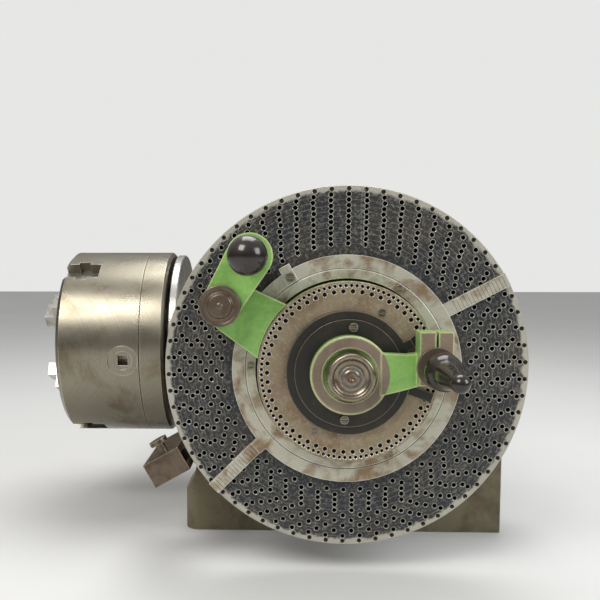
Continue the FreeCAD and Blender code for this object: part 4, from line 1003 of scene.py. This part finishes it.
@dataclass
class PlateCounts:
    """The hole count of each circle, stamped beside the row where all circles start."""

    height: float = 0.0042
    beside: float = 6.4
    beside_at: float = 105.0

    def figures(self, count: int) -> tuple[np.ndarray, np.ndarray]:
        """A number as a flat outline.

        Args:
            count: the number.

        Returns:
            Rows of x, y and z, and rows of three point numbers.
        """
        curve = bpy.data.curves.new(f"count_{count}", "FONT")
        curve.body, curve.size, curve.extrude = str(count), self.height, 0.0
        curve.resolution_u = 2
        curve.align_x, curve.align_y = "CENTER", "CENTER"
        holder = bpy.data.objects.new(curve.name, curve)
        shape = bpy.data.meshes.new_from_object(holder)
        shape.calc_loop_triangles()
        flat = np.zeros(len(shape.vertices) * 3)
        shape.vertices.foreach_get("co", flat)
        faces = np.zeros(len(shape.loop_triangles) * 3, int)
        shape.loop_triangles.foreach_get("vertices", faces)
        bpy.data.objects.remove(holder)
        bpy.data.curves.remove(curve)
        bpy.data.meshes.remove(shape)
        return flat.reshape(-1, 3), faces.reshape(-1, 3)

    def build(self) -> None:
        """Set each number on its circle, with its top outwards."""
        low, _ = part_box("large_index_plate")
        centre = middle("large_index_plate")
        surface = Surface()
        for radius, count in zip(LARGE_CIRCLES, LARGE_COUNTS):
            flat, faces = self.figures(count)
            turn = math.radians(ROW_ANGLE - self.beside * self.beside_at / radius)
            outwards = np.array([math.cos(turn), 0, math.sin(turn)])
            right = np.array([math.sin(turn), 0, -math.cos(turn)])
            place = np.array([centre.x, low.y - DECAL_LIFT, centre.z]) + outwards * radius * MM
            surface.add(place + flat[:, :1] * right + flat[:, 1:2] * outwards, triangles=faces)
        surface.finish("circle_counts", [SINK_STEEL.build()], "index_plate", Slot.PLATE,
                       weld=False)


@dataclass
class ArmLines:
    """Fine cut lines across a sector arm, of which every fourth is longer."""

    name: str
    body: str
    azimuth: float
    side: float
    front: float = -0.2238
    first: float = 104.0
    last: float = 150.0
    pitch: float = 3.2
    half_width: float = 0.14
    inner: float = 0.4
    short: float = 10.0
    long: float = 10.9

    def build(self) -> None:
        """Draw the lines as flat quads.

        A corner lies at c + s u + w v, where c is on the crank axis, u points along the
        arm, v across it, s is the line's radius and w how far across the corner is.
        """
        centre = middle("large_index_plate")
        steps = np.arange(self.first, self.last, self.pitch)
        turn = math.radians(self.azimuth)
        along = np.array([math.cos(turn), 0, math.sin(turn)])
        across = np.array([-math.sin(turn), 0, math.cos(turn)]) * self.side
        reach = np.where(np.arange(len(steps)) % 4 == 0, self.long, self.short)
        base = np.array([centre.x, self.front - DECAL_LIFT, centre.z])
        radial = (steps[:, None] + np.array([-1.0, 1.0, 1.0, -1.0]) * self.half_width) * MM
        near = np.full(len(steps), self.inner)
        wide = np.stack([near, near, reach, reach], axis=1) * MM
        points = (base + radial[..., None] * along + wide[..., None] * across).reshape(-1, 3)
        quads = np.arange(len(points)).reshape(-1, 4)
        surface = Surface()
        surface.add(points, quads=quads if self.side > 0 else quads[:, ::-1])
        surface.finish(self.name, [HOLE_SHADE_AND_LINE_BLACK.build()], self.body, Slot.SECTOR, weld=False)


@dataclass
class DividingHead:
    """The whole object: its new pieces, and the finishes of the CAD nodes that stay."""

    plates: IndexPlates = field(default_factory=IndexPlates)
    handles: Handles = field(default_factory=Handles)
    caps: CrankCaps = field(default_factory=CrankCaps)
    counts: PlateCounts = field(default_factory=PlateCounts)
    arm_lines: tuple[ArmLines, ...] = (
        ArmLines("first_arm_lines", "sector_first", 27.4, 1.0),
        ArmLines("second_arm_lines", "sector_second", 225.0, -1.0))

    def finish_nodes(self) -> None:
        """Give every CAD node that stays a finish of its own."""
        made: dict[str, bpy.types.Material] = {}
        axis = middle("large_index_plate")
        for part in frame["record"]["subparts"]:
            node = frame["nodes"][part["node"]]
            slot = part["material_slot"]
            if slot not in made:
                made[slot] = CAD_FINISHES[slot].build(axis)
            for number in range(len(node.material_slots)):
                node.material_slots[number].material = made[slot]
        node = frame["nodes"]["small_crank"]
        node.material_slots[0].material = SMALL_CRANK.build(axis)

    def build(self) -> None:
        """Build the sub-assemblies in order."""
        self.finish_nodes()
        for assembly in (self.plates, self.handles, self.caps, self.counts, *self.arm_lines):
            assembly.build()


def main() -> None:
    """Build the object and its studio, and report each piece."""
    logging.basicConfig(level=logging.INFO, format="%(name)s: %(message)s")
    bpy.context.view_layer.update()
    Studio().build()
    DividingHead().build()


if __name__ == "__main__":
    main()
